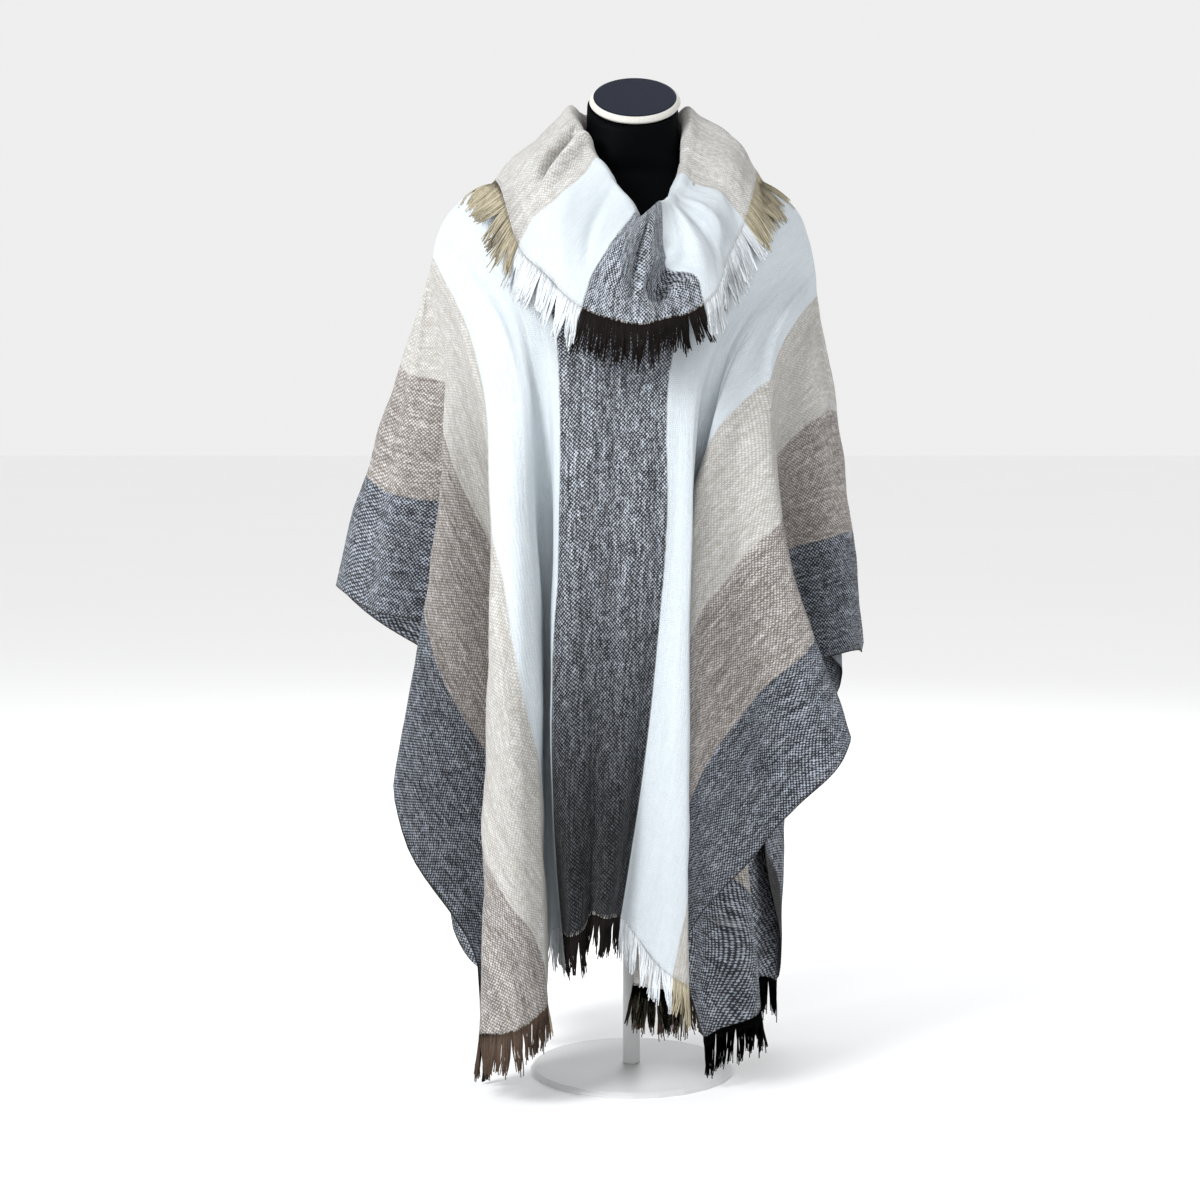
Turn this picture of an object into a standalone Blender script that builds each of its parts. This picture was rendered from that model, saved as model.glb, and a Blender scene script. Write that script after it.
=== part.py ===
"""Andean poncho with a fringed fold-over collar, worn by a limbless dress form on a round stand.

Metres, +Z up. The garment's front faces -Y. The origin is the middle of the stand's underside.
The poncho is one cloth of nine warp stripes, slit along its middle for the neck. It lies over both
shoulders and falls in folds from them. Every fold is a crease that runs from the shoulder line to
the hem or the selvedge, and the tables give each crease its place at four heights.
"""

import math
from functools import partial

import bpy
import numpy as np
from mathutils import Vector
from mathutils.bvhtree import BVHTree

# ---- driving sizes -------------------------------------------------------------------------------
STRIPE = 0.152  # width of each warp stripe
HALF_WIDTH = 4.5 * STRIPE  # middle of the cloth to its selvedge
FRONT_LENGTH = 0.935  # shoulder line to the front hem, along a selvedge
BACK_LENGTH = 0.880  # and to the back hem
FRONT_SHIFT = 0.07  # the cloth is drawn this far to the front at the neck
WALL = 0.0020  # thickness of the woven cloth
MITRE = 0.7  # limits how far the wall's corner reaches out at a sharp crease
SEAM_GAP = 0.0004  # between pieces that are sewn together or run on from each other
FORM_CLEARANCE = 0.0008  # between the form and the cloth that lies on it

LINE_PLACES = (0.0, 0.2, 0.8)  # grid lines from one crease to the next, close in to round each crease
CREASE_ROUND = 0.060  # how strongly a crease is rounded: a larger value gives a wider fold
ROWS = 15  # grid rows from the shoulder line to the edge
ROW_EASE = 1.2  # rows lie closer together near the shoulder
APART = 0.0046  # layers of a fold keep this far apart, middle to middle
APART_BELOW = 0.98  # height under which the folds are deep enough to need it
APART_ROUNDS = 14
SLIT_ROWS_FRONT = 5  # rows along which the neck slit is open, in front
SLIT_ROWS_BACK = 3  # and behind

HEM_SAG = 0.065  # the loose weave hangs this much longer in the deep folds of the front hem,
HEM_SAG_SPAN = (0.25, 0.42)  # and all of that between these distances from the middle
HEM_REACH = 0.004  # a line that ends this near the hem's corner belongs to the hem
FRINGE_STRIP = 0.007  # woven heading that the fringe hangs from
HEADING_WALL = 0.8  # its thickness, as a share of the wall
HEADING_GAP = 0.0014  # from the cloth's edge to the heading
FRINGE_LENGTH = 0.044  # below its heading
LOCK_PITCH = 0.021
SNAP = 0.0015  # a lock's side this near a grid line is moved onto it
LOCK_WIDTH = 0.0125  # at its root
LOCK_TIP = 0.45  # width at the tip, as a share of the root
LOCK_TIP_WALL = 0.6  # thickness at the tip, as a share of the wall
CREASE_SHARE = 0.88  # no lock where a crease draws its root in to less than this share of its width
LAYER_SHARE = 0.68  # nor nearer another lock than this share of the pitch, where the cloth is folded close

# ---- shoulder line --------------------------------------------------------------------------------
# Where the cloth lies over each shoulder, from the neck slit outwards. Columns: x, z.
LEFT_SHOULDER = (
    (-0.078, 1.166),
    (-0.115, 1.149),
    (-0.150, 1.137),
    (-0.185, 1.127),
    (-0.213, 1.111),
    (-0.235, 1.088),
    (-0.244, 1.066),
    (-0.250, 1.038),
    (-0.262, 0.985),
)
RIGHT_SHOULDER = (
    (0.103, 1.154),
    (0.150, 1.137),
    (0.185, 1.118),
    (0.208, 1.094),
    (0.221, 1.062),
    (0.228, 1.030),
    (0.233, 0.990),
    (0.240, 0.930),
)

# ---- creases --------------------------------------------------------------------------------------
# start: where the crease leaves the shoulder line, measured from the slit along the cloth.
# x, y, turn: its place at a height, and how far it has turned from the warp towards the selvedge.
# Columns: start, then x, y and turn at each of the four heights.
HEIGHTS = (0.93, 0.70, 0.45, 0.18)
FRONT_LEFT = (
    (0.000, -0.021, -0.140, 0, -0.026, -0.150, 0, -0.041, -0.152, 0, -0.058, -0.130, 0),
    (0.038, -0.057, -0.143, 0, -0.059, -0.158, 0, -0.071, -0.160, 0, -0.072, -0.150, 0),
    (0.076, -0.093, -0.140, 0, -0.092, -0.152, 0, -0.100, -0.150, 0, -0.085, -0.114, 0),
    (0.125, -0.120, -0.130, 0, -0.104, -0.108, 0, -0.098, -0.076, 0, -0.104, -0.052, 1),
    (0.200, -0.150, -0.124, 0, -0.126, -0.158, 0, -0.117, -0.158, 2, -0.109, -0.160, 11),
    (0.204, -0.170, -0.116, 0, -0.146, -0.168, 1, -0.148, -0.186, 4, -0.142, -0.188, 14),
    (0.208, -0.188, -0.104, 2, -0.174, -0.142, 3, -0.179, -0.142, 9, -0.186, -0.138, 17),
    (0.220, -0.205, -0.080, 10, -0.158, -0.064, 16, -0.130, -0.040, 19, -0.168, -0.055, 26.4),
    (0.236, -0.232, -0.058, 36, -0.243, -0.088, 41, -0.285, -0.100, 42, -0.330, -0.110, 42),
    (0.252, -0.236, -0.026, 58, -0.180, -0.018, 63, -0.180, -0.010, 65, -0.190, -0.010, 66),
)
FRONT_RIGHT = (
    (0.000, -0.021, -0.140, 0, -0.026, -0.150, 0, -0.041, -0.152, 0, -0.058, -0.130, 0),
    (0.038, 0.015, -0.143, 0, 0.008, -0.158, 0, -0.010, -0.162, 0, -0.041, -0.150, 0),
    (0.076, 0.050, -0.140, 0, 0.040, -0.148, 0, 0.017, -0.146, 0, -0.022, -0.112, 0),
    (0.120, 0.088, -0.140, 0, 0.070, -0.158, 0, 0.065, -0.174, 1, 0.066, -0.178, 9),
    (0.160, 0.104, -0.122, 0, 0.058, -0.104, 3, 0.036, -0.058, 8, 0.006, -0.070, 13),
    (0.172, 0.116, -0.118, 0, 0.104, -0.092, 8, 0.126, -0.050, 16, 0.155, -0.045, 25),
    (0.182, 0.126, -0.119, 0, 0.080, -0.108, 11, 0.092, -0.092, 20, 0.090, -0.094, 28.2),
    (0.188, 0.136, -0.118, 0, 0.070, -0.137, 14, 0.066, -0.142, 24, 0.063, -0.138, 33),
    (0.194, 0.152, -0.108, 1, 0.126, -0.122, 23, 0.165, -0.086, 37, 0.200, -0.078, 42),
    (0.200, 0.172, -0.106, 2, 0.182, -0.126, 31, 0.268, -0.112, 48, 0.360, -0.105, 50),
    (0.215, 0.205, -0.070, 26, 0.172, -0.042, 52, 0.190, -0.028, 66, 0.210, -0.024, 70),
    (0.240, 0.234, -0.040, 66, 0.262, -0.044, 74, 0.280, -0.040, 82, 0.290, -0.040, 84),
)
BACK_LEFT = (
    (0.000, -0.010, 0.130, 0, -0.012, 0.142, 0, -0.012, 0.150, 0, -0.012, 0.150, 0),
    (0.038, -0.046, 0.134, 0, -0.048, 0.156, 0, -0.047, 0.176, 0, -0.045, 0.185, 0),
    (0.076, -0.084, 0.126, 0, -0.080, 0.130, 0, -0.072, 0.124, 0, -0.066, 0.116, 1),
    (0.125, -0.124, 0.122, 0, -0.112, 0.148, 1, -0.104, 0.174, 3, -0.102, 0.184, 5),
    (0.200, -0.168, 0.108, 0, -0.128, 0.102, 5, -0.104, 0.070, 9, -0.098, 0.058, 12),
    (0.204, -0.186, 0.104, 3, -0.160, 0.132, 11, -0.152, 0.160, 16, -0.150, 0.168, 19),
    (0.208, -0.202, 0.092, 8, -0.176, 0.084, 19, -0.138, 0.050, 23, -0.132, 0.042, 25),
    (0.220, -0.222, 0.080, 20, -0.220, 0.112, 30, -0.232, 0.136, 30, -0.238, 0.142, 30),
    (0.236, -0.238, 0.060, 40, -0.212, 0.046, 50, -0.190, 0.030, 52, -0.185, 0.030, 52),
    (0.252, -0.285, 0.060, 66, -0.366, 0.130, 72, -0.420, 0.160, 72, -0.450, 0.170, 72),
)
BACK_RIGHT = (
    (0.000, -0.010, 0.130, 0, -0.012, 0.142, 0, -0.012, 0.150, 0, -0.012, 0.150, 0),
    (0.038, 0.026, 0.132, 0, 0.022, 0.138, 0, 0.018, 0.134, 0, 0.016, 0.126, 0),
    (0.076, 0.064, 0.130, 0, 0.056, 0.152, 0, 0.046, 0.176, 0, 0.044, 0.186, 0),
    (0.120, 0.104, 0.122, 0, 0.086, 0.118, 1, 0.068, 0.098, 2, 0.062, 0.090, 4),
    (0.160, 0.140, 0.118, 1, 0.124, 0.144, 4, 0.112, 0.168, 8, 0.110, 0.176, 11),
    (0.172, 0.154, 0.110, 3, 0.130, 0.096, 10, 0.106, 0.066, 15, 0.100, 0.056, 17),
    (0.182, 0.166, 0.106, 6, 0.160, 0.128, 16, 0.150, 0.154, 20, 0.148, 0.162, 22),
    (0.188, 0.178, 0.098, 10, 0.164, 0.082, 21, 0.140, 0.052, 25, 0.136, 0.046, 25.5),
    (0.194, 0.192, 0.092, 17, 0.204, 0.114, 31, 0.206, 0.138, 30, 0.200, 0.144, 27.6),
    (0.200, 0.206, 0.078, 27, 0.194, 0.062, 42, 0.178, 0.044, 42, 0.174, 0.038, 42),
    (0.215, 0.224, 0.062, 46, 0.258, 0.090, 58, 0.278, 0.112, 58, 0.286, 0.118, 58),
    (0.240, 0.238, 0.030, 70, 0.252, 0.040, 76, 0.262, 0.050, 78, 0.268, 0.054, 78),
)
# The crease along the shoulder line itself, where front and back meet.
# Columns: start, then x and y at each of the four heights.
LEFT_SIDE = (0.268, -0.270, 0.000, -0.306, 0.002, -0.340, 0.006, -0.375, 0.008)
RIGHT_SIDE = (0.265, 0.244, 0.004, 0.280, 0.026, 0.306, 0.052, 0.330, 0.070)

# ---- collar ---------------------------------------------------------------------------------------
# A strip sewn round the neck slit, standing up and folded over outwards. c: place along the strip from
# the middle of the throat, minus to the left. top: the fold at the top. edge: the fringed lower edge.
# bulge: how far the outer layer stands out between them.
# Columns: c, then x, y and z of the top, x, y and z of the edge, bulge.
COLLAR_HALF = 0.58  # half of the strip's length
SECTIONS_PER_ROW = 3  # for each grid row of the cloth along the neck slit
COLLAR_STEPS = (1, 2, 2, 2, 3, 3)
COLLAR_TURN = 0.006  # from the seam to where the strip turns up
COLLAR_ROLL = 0.009  # radius of the fold at the top
COLLAR_CLEARANCE = 0.0036  # from the cloth and the form under it
COLLAR_SECTIONS = (
    (-0.580, 0.000, 0.074, 1.213, 0.000, 0.122, 1.105, 0.006),
    (-0.480, -0.052, 0.060, 1.222, -0.105, 0.098, 1.118, 0.010),
    (-0.380, -0.078, 0.016, 1.228, -0.172, 0.030, 1.138, 0.010),
    (-0.304, -0.072, -0.034, 1.205, -0.160, -0.040, 1.112, 0.012),
    (-0.228, -0.047, -0.074, 1.160, -0.138, -0.100, 1.047, 0.014),
    (-0.152, -0.024, -0.108, 1.125, -0.100, -0.150, 1.008, 0.014),
    (-0.076, 0.000, -0.136, 1.090, -0.062, -0.188, 0.972, 0.012),
    (-0.030, 0.008, -0.146, 1.081, -0.022, -0.200, 0.957, 0.014),
    (0.000, 0.019, -0.142, 1.088, 0.007, -0.202, 0.952, 0.004),
    (0.030, 0.030, -0.131, 1.096, 0.036, -0.194, 0.956, -0.012),
    (0.076, 0.038, -0.114, 1.101, 0.084, -0.172, 0.978, 0.010),
    (0.152, 0.048, -0.092, 1.112, 0.110, -0.130, 1.030, 0.014),
    (0.228, 0.061, -0.060, 1.138, 0.134, -0.086, 1.078, 0.014),
    (0.304, 0.070, -0.022, 1.190, 0.150, -0.034, 1.128, 0.012),
    (0.380, 0.072, 0.020, 1.226, 0.156, 0.030, 1.148, 0.010),
    (0.480, 0.052, 0.060, 1.220, 0.102, 0.098, 1.122, 0.010),
    (0.580, 0.000, 0.074, 1.213, 0.000, 0.122, 1.105, 0.006),
)
HANG = 0.7  # how much a lock hangs down rather than following the cloth
SWING = 0.10  # how far locks lean to either side

# ---- dress form and stand -------------------------------------------------------------------------
FORM_COLUMNS = ("z", "half_width", "front", "back")
FORM_SECTIONS = (
    (0.590, 0.098, 0.052, 0.058),
    (0.602, 0.124, 0.070, 0.076),
    (0.660, 0.136, 0.082, 0.088),
    (0.740, 0.130, 0.080, 0.080),
    (0.860, 0.150, 0.098, 0.088),
    (0.950, 0.178, 0.112, 0.100),
    (1.030, 0.196, 0.098, 0.096),
    (1.065, 0.197, 0.078, 0.080),
    (1.095, 0.191, 0.064, 0.068),
    (1.113, 0.184, 0.052, 0.056),
    (1.1315, 0.150, 0.040, 0.046),
    (1.141, 0.112, 0.038, 0.044),
    (1.158, 0.075, 0.043, 0.050),
    (1.185, 0.061, 0.046, 0.050),
    (1.227, 0.057, 0.048, 0.050),
)
FORM_SIDES = 28
NECK_SLOPE = math.radians(34)  # the neck ends on a plane that slopes down to the front
DISC_SIDES = 24
CAP_CENTRE = (0.003, -0.001, 1.239)
CAP_PROFILE = ((0.054, -0.010), (0.057, -0.008), (0.053, -0.002), (0.051, 0.000))
POLE_PROFILE = ((0.011, 0.0105), (0.011, 0.5895))
BASE_PROFILE = ((0.130, 0.000), (0.130, 0.004), (0.126, 0.0070), (0.030, 0.0100))

# ---- finishes: colour, roughness, metallic --------------------------------------------------------
FINISHES = {
    "poncho_front": ((0.62, 0.60, 0.57), 0.90, 0.0),
    "poncho_back": ((0.62, 0.60, 0.57), 0.90, 0.0),
    "collar": ((0.66, 0.64, 0.61), 0.90, 0.0),
    "fringe_front": ((0.46, 0.42, 0.36), 0.95, 0.0),
    "fringe_back": ((0.46, 0.42, 0.36), 0.95, 0.0),
    "fringe_collar": ((0.42, 0.38, 0.32), 0.95, 0.0),
    "form_torso": ((0.012, 0.012, 0.014), 0.45, 0.0),
    "neck_cap": ((0.03, 0.045, 0.08), 0.50, 0.0),
    "stand_pole": ((0.75, 0.75, 0.74), 0.40, 0.0),
    "stand_base": ((0.75, 0.75, 0.74), 0.40, 0.0),
}


def column(table, columns, name):
    return np.array([row[columns.index(name)] for row in table], float)


def along(table):
    """(distances, points) of the polyline through a table of x and z."""
    points = np.array([(x, 0.0, z) for x, z in table])
    steps = np.linalg.norm(np.diff(points, axis=0), axis=1)
    return np.concatenate([[0.0], np.cumsum(steps)]), points


def shoulder_point(table, distance):
    reach, points = along(table)
    return np.stack([catmull(reach, points[:, k], distance) for k in range(3)], axis=-1)


def catmull(knots, values, at):
    """Smooth curve through the values at the knots, read at the places in at."""
    knots, values, at = np.asarray(knots, float), np.asarray(values, float), np.asarray(at, float)
    slopes = np.gradient(values, knots)
    i = np.clip(np.searchsorted(knots, at, side="right") - 1, 0, len(knots) - 2)
    width = knots[i + 1] - knots[i]
    t = (at - knots[i]) / width
    low, high = values[i], values[i + 1]
    return (
        (2 * t**3 - 3 * t**2 + 1) * low
        + (t**3 - 2 * t**2 + t) * width * slopes[i]
        + (3 * t**2 - 2 * t**3) * high
        + (t**3 - t**2) * width * slopes[i + 1]
    )


def smoothstep(low, high, x):
    t = np.clip((x - low) / (high - low), 0.0, 1.0)
    return t * t * (3 - 2 * t)


def form_depth(x, z, side):
    """Depth of the form's front (side -1) or back (side +1) surface at this x and height."""
    z_table = column(FORM_SECTIONS, FORM_COLUMNS, "z")
    width = np.interp(z, z_table, column(FORM_SECTIONS, FORM_COLUMNS, "half_width"), right=0.0)
    facing = "front" if side < 0 else "back"
    depth = np.interp(z, z_table, column(FORM_SECTIONS, FORM_COLUMNS, facing), right=0.0)
    inside = np.clip(1 - (np.abs(x) / np.maximum(width, 1e-6)) ** 2.0, 0.0, 1.0)
    return depth * np.sqrt(inside)


def fold_line(row, shoulder, side):
    """Points of one fold line from the shoulder line down, with its distance and its turn at each."""
    start, places = row[0], np.reshape(row[1:], (4, 3))
    top = shoulder_point(shoulder, np.array([start]))[0]
    heights = np.array(HEIGHTS)
    marks = np.column_stack([places[:, 0], places[:, 1], heights])
    usable = heights < top[2] - 0.03
    marks, turns = marks[usable], places[usable, 2]
    tail = marks[-1] + (marks[-1] - marks[-2]) * 0.9
    marks = np.vstack([top, marks, tail])
    turns = np.concatenate([[turns[0]], turns, [turns[-1]]])
    reach = np.concatenate([[0.0], np.cumsum(np.linalg.norm(np.diff(marks, axis=0), axis=1))])
    slopes = np.gradient(marks, reach, axis=0)
    over = 1 - smoothstep(0.10, 0.19, start)  # the cloth goes forward over the shoulder before it falls
    slopes[0] = over * np.array([0.0, side * 1.15, -0.30]) + (1 - over) * slopes[0]
    fine = np.linspace(0, reach[-1], 160)
    i = np.clip(np.searchsorted(reach, fine, side="right") - 1, 0, len(reach) - 2)
    width = (reach[i + 1] - reach[i])[:, None]
    t = (fine[:, None] - reach[i][:, None]) / width
    points = (
        (2 * t**3 - 3 * t**2 + 1) * marks[i]
        + (t**3 - 2 * t**2 + t) * width * slopes[i]
        + (3 * t**2 - 2 * t**3) * marks[i + 1]
        + (t**3 - t**2) * width * slopes[i + 1]
    )
    clear = form_depth(points[:, 0], points[:, 2], side) + FORM_CLEARANCE + WALL
    covered = side * points[:, 1] < clear
    held = (points[:, 2] > 0.86) & covered & (np.arange(len(fine)) > 0)
    points[held, 1] = side * clear[held]
    distance = np.concatenate([[0.0], np.cumsum(np.linalg.norm(np.diff(points, axis=0), axis=1))])
    return points, distance, np.interp(fine, reach, turns)


def hem_length(across, side):
    """From the shoulder line to the hem, this far from the middle of the cloth."""
    if side > 0:
        return BACK_LENGTH
    inner, outer = HEM_SAG_SPAN
    share = smoothstep(0.0, inner, across) * (1 - smoothstep(outer, HALF_WIDTH, across))
    return FRONT_LENGTH + HEM_SAG * share


def cloth_quarter(table, side_row, shoulder, side):
    """Points (line, row) of a quarter of the cloth, and which of its lines end at the hem."""
    rows = [list(row) for row in table]
    edge = [side_row[0]]
    for k in range(4):
        edge += [side_row[1 + 2 * k], side_row[2 + 2 * k], 90.0]
    rows = np.array(rows + [edge])
    knots = np.arange(len(rows))
    steps = np.append((knots[:-1, None] + np.array(LINE_PLACES)).ravel(), knots[-1])
    smooth = np.stack([np.interp(steps, knots, rows[:, k]) for k in range(rows.shape[1])], axis=1)
    for k in (1, 4, 7, 10):
        smooth[:, k : k + 2] = rounded_folds(rows[:, k : k + 2], steps)
    share = np.linspace(0, 1, ROWS + 1) ** ROW_EASE
    grid, hem = [], []
    for row in smooth:
        points, distance, turn = fold_line(row, shoulder, side)
        drawn = FRONT_SHIFT * (1 - smoothstep(0.0, 0.2, row[0])) * side
        across = row[0] + distance * np.sin(np.radians(turn))
        below = drawn + distance * np.cos(np.radians(turn)) - hem_length(across, side)
        end = np.interp(0.0, np.maximum(across - HALF_WIDTH, below), distance)
        hem.append(np.interp(end, distance, below) > -HEM_REACH)
        grid.append(read_line(points, distance, share * end))
    return np.array(grid), np.array(hem)


def rounded_folds(places, steps):
    """Curve through the creases at one height: every crease is rounded evenly to both sides."""
    legs = np.diff(places, axis=0)
    ahead, behind = np.vstack([legs, legs[-1:]]), np.vstack([legs[:1], legs])
    shorter = np.minimum(np.linalg.norm(ahead, axis=1), np.linalg.norm(behind, axis=1))
    spread = np.linalg.norm(ahead + behind, axis=1) / 2
    size = np.maximum(spread, np.minimum(CREASE_ROUND, 0.9 * shorter))
    slopes = unit(unit(ahead) + unit(behind)) * size[:, None]
    i = np.clip(steps.astype(int), 0, len(places) - 2)
    t = (steps - i)[:, None]
    return (
        (2 * t**3 - 3 * t**2 + 1) * places[i]
        + (t**3 - 2 * t**2 + t) * slopes[i]
        + (3 * t**2 - 2 * t**3) * places[i + 1]
        + (t**3 - t**2) * slopes[i + 1]
    )


def read_line(points, distance, at):
    return np.stack([np.interp(at, distance, points[:, k]) for k in range(3)], axis=-1)


def cloth_side(side):
    """Both quarters of the front (side -1) or the back (side +1), from the left edge to the right."""
    left = cloth_quarter(FRONT_LEFT if side < 0 else BACK_LEFT, LEFT_SIDE, LEFT_SHOULDER, side)
    right = cloth_quarter(FRONT_RIGHT if side < 0 else BACK_RIGHT, RIGHT_SIDE, RIGHT_SHOULDER, side)
    slit = SLIT_ROWS_FRONT if side < 0 else SLIT_ROWS_BACK
    middle = (left[0][0, slit:] + right[0][0, slit:]) / 2
    left[0][0, slit:] = middle
    right[0][0, slit:] = middle
    hem = np.concatenate([left[1][::-1], right[1]])
    return np.concatenate([left[0][::-1], right[0]]), hem, len(left[0])


def cloth_surface():
    """The cloth's middle surface: points, outward normals, the faces of each half, and its seams."""
    grids, hems = [], []
    for side in (-1, 1):
        grid, hem, middle = cloth_side(side)
        hem[middle] = False
        grids.append(grid)
        hems.append(hem)
    columns, rows = grids[0].shape[:2]
    points = np.concatenate([grid.reshape(-1, 3) for grid in grids])
    index = np.arange(len(points)).reshape(2, columns, rows)
    index[1, :, 0] = index[0, :, 0]
    index[1, (0, -1), :] = index[0, (0, -1), :]
    for half, slit in enumerate((SLIT_ROWS_FRONT, SLIT_ROWS_BACK)):
        index[half, middle, slit:] = index[half, middle - 1, slit:]
    faces = []
    for half in range(2):
        i = index[half]
        cells = np.stack([i[:-1, :-1], i[:-1, 1:], i[1:, 1:], i[1:, :-1]], axis=-1)
        cells = np.delete(cells, middle - 1, axis=0).reshape(-1, 4)
        faces.append(cells if half == 0 else cells[:, ::-1])
    every = np.concatenate(faces)
    used = np.unique(every)
    points[used] = kept_apart(points[used], np.searchsorted(used, every), points[used, 2] < APART_BELOW)
    return points, vertex_normals(points, every), faces, index, middle, hems


def kept_apart(points, faces, free):
    """Moves the layers of a folded surface apart where they come too near and the points are free to move."""
    points = points.copy()
    beside = [set() for _ in points]
    for face, corners in enumerate(faces.tolist()):
        for corner in corners:
            beside[corner].add(face)
    near = [set().union(*(beside[c] for f in own for c in faces[f].tolist())) for own in beside]
    for _ in range(APART_ROUNDS):
        tree = BVHTree.FromPolygons(points.tolist(), faces.tolist())
        shift, count = np.zeros_like(points), np.zeros(len(points))
        for k in np.flatnonzero(free):
            for place, _, face, distance in tree.find_nearest_range(Vector(points[k]), APART):
                if face in near[k] or distance < 1e-7:
                    continue
                way = (points[k] - np.array(place)) / distance
                push = way * (APART - distance) * 0.5
                shift[k] += push
                count[k] += 1
                shift[faces[face]] -= push * 0.5
                count[faces[face]] += 0.5
        points += free[:, None] * shift / np.maximum(count, 1)[:, None]
    return points


def unit(vectors):
    return vectors / np.maximum(np.linalg.norm(vectors, axis=-1, keepdims=True), 1e-12)


def vertex_normals(points, faces):
    """Normals of the vertices, longer at a sharp crease so that the wall keeps its thickness there."""
    corners = points[faces]
    ahead = unit(np.roll(corners, -1, axis=1) - corners)
    behind = unit(np.roll(corners, 1, axis=1) - corners)
    square = unit(np.cross(ahead, behind))
    angle = np.arccos(np.clip((ahead * behind).sum(axis=-1), -1.0, 1.0))[..., None]
    normals = np.zeros_like(points)
    np.add.at(normals, faces, square * angle)
    normals = unit(normals)
    lean, total = np.zeros(len(points)), np.zeros(len(points))
    np.add.at(lean, faces, (square * normals[faces]).sum(axis=-1) * angle[..., 0])
    np.add.at(total, faces, angle[..., 0])
    return normals / np.clip(lean / np.maximum(total, 1e-9), MITRE, 1.0)[:, None]


def wall_mesh(name, points, normals, faces, half_wall=WALL / 2):
    """Object with a wall on both sides of a middle surface, closed along every free edge."""
    used, packed = np.unique(triangles(points, faces), return_inverse=True)
    faces = packed.reshape(-1, 3)
    points, normals = points[used], normals[used]
    half_walls = np.broadcast_to(half_wall, used.max() + 1) if np.ndim(half_wall) == 0 else half_wall
    thickness = half_walls[used, None]
    sides = np.concatenate([faces[:, [k, (k + 1) % 3]] for k in range(3)])
    known = {(a, b) for a, b in sides.tolist()}
    free = np.array([(a, b) for a, b in sides.tolist() if (b, a) not in known])
    inner = len(used)
    rims = np.stack([free[:, 1], free[:, 0], free[:, 0] + inner, free[:, 1] + inner], axis=1)
    place = np.concatenate([points + normals * thickness, points - normals * thickness])
    every = np.concatenate([faces, faces[:, ::-1] + inner, triangles(place, rims)])
    return mesh_object(name, place.tolist(), every.tolist())


def triangles(points, faces):
    """Each four-sided face as two triangles, parted along its shorter diagonal."""
    a, b, c, d = faces.T
    along_ac = np.linalg.norm(points[a] - points[c], axis=1) < np.linalg.norm(points[b] - points[d], axis=1)
    first = np.where(along_ac[:, None], np.stack([a, b, c], axis=1), np.stack([a, b, d], axis=1))
    second = np.where(along_ac[:, None], np.stack([a, c, d], axis=1), np.stack([b, c, d], axis=1))
    return np.concatenate([first, second])


def mesh_object(name, points, faces):
    mesh = bpy.data.meshes.new(name)
    mesh.from_pydata(points, [], faces)
    mesh.materials.append(plain_material(name, *FINISHES[name]))
    mesh.polygons.foreach_set("use_smooth", [True] * len(mesh.polygons))
    mesh.validate()
    obj = bpy.data.objects.new(name, mesh)
    bpy.context.scene.collection.objects.link(obj)
    return obj


def plain_material(name, colour, roughness, metallic):
    material = bpy.data.materials.new(name)
    material.use_nodes = True
    shader = material.node_tree.nodes["Principled BSDF"]
    shader.inputs["Base Color"].default_value = (*colour, 1.0)
    shader.inputs["Roughness"].default_value = roughness
    shader.inputs["Metallic"].default_value = metallic
    return material


def body_halves(surface):
    """poncho_front and poncho_back: one cloth, parted along the shoulder line by the seam gap."""
    points, normals, faces, index, middle, _ = surface
    for half, name in enumerate(("poncho_front", "poncho_back")):
        place = points.copy()
        inward = np.zeros_like(points)
        i = index[half]
        for seam, beside in ((i[:, 0], i[:, 1]), (i[0], i[1]), (i[-1], i[-2])):
            np.add.at(inward, seam, unit(points[beside] - points[seam]))
        along_normal = unit(normals)
        inward -= (inward * along_normal).sum(axis=1, keepdims=True) * along_normal
        place += unit(inward) * SEAM_GAP / 2
        wall_mesh(name, place, normals, faces[half])


def slit_edge(surface, hand):
    """Edge of the neck slit from its front end over the shoulder to its back end, way in and normals."""
    points, normals, _, index, middle, _ = surface
    edge, beside = (middle - 1, middle - 2) if hand < 0 else (middle, middle + 1)
    front, back = slice(SLIT_ROWS_FRONT, None, -1), slice(1, SLIT_ROWS_BACK + 1)
    on_edge = np.concatenate([index[0, edge, front], index[1, edge, back]])
    off_edge = np.concatenate([index[0, beside, front], index[1, beside, back]])
    path = points[on_edge]
    tangent = unit(np.gradient(path, axis=0))
    inward = path - points[off_edge]
    inward -= (inward * tangent).sum(axis=1, keepdims=True) * tangent
    inward = unit(inward)
    for place, half, row in ((0, 0, SLIT_ROWS_FRONT), (-1, 1, SLIT_ROWS_BACK)):
        across = points[index[half, middle - 1, row - 1]] + points[index[half, middle, row - 1]]
        inward[place] = unit(across / 2 - points[index[half, middle, row]])
    return path, inward, normals[on_edge]


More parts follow.
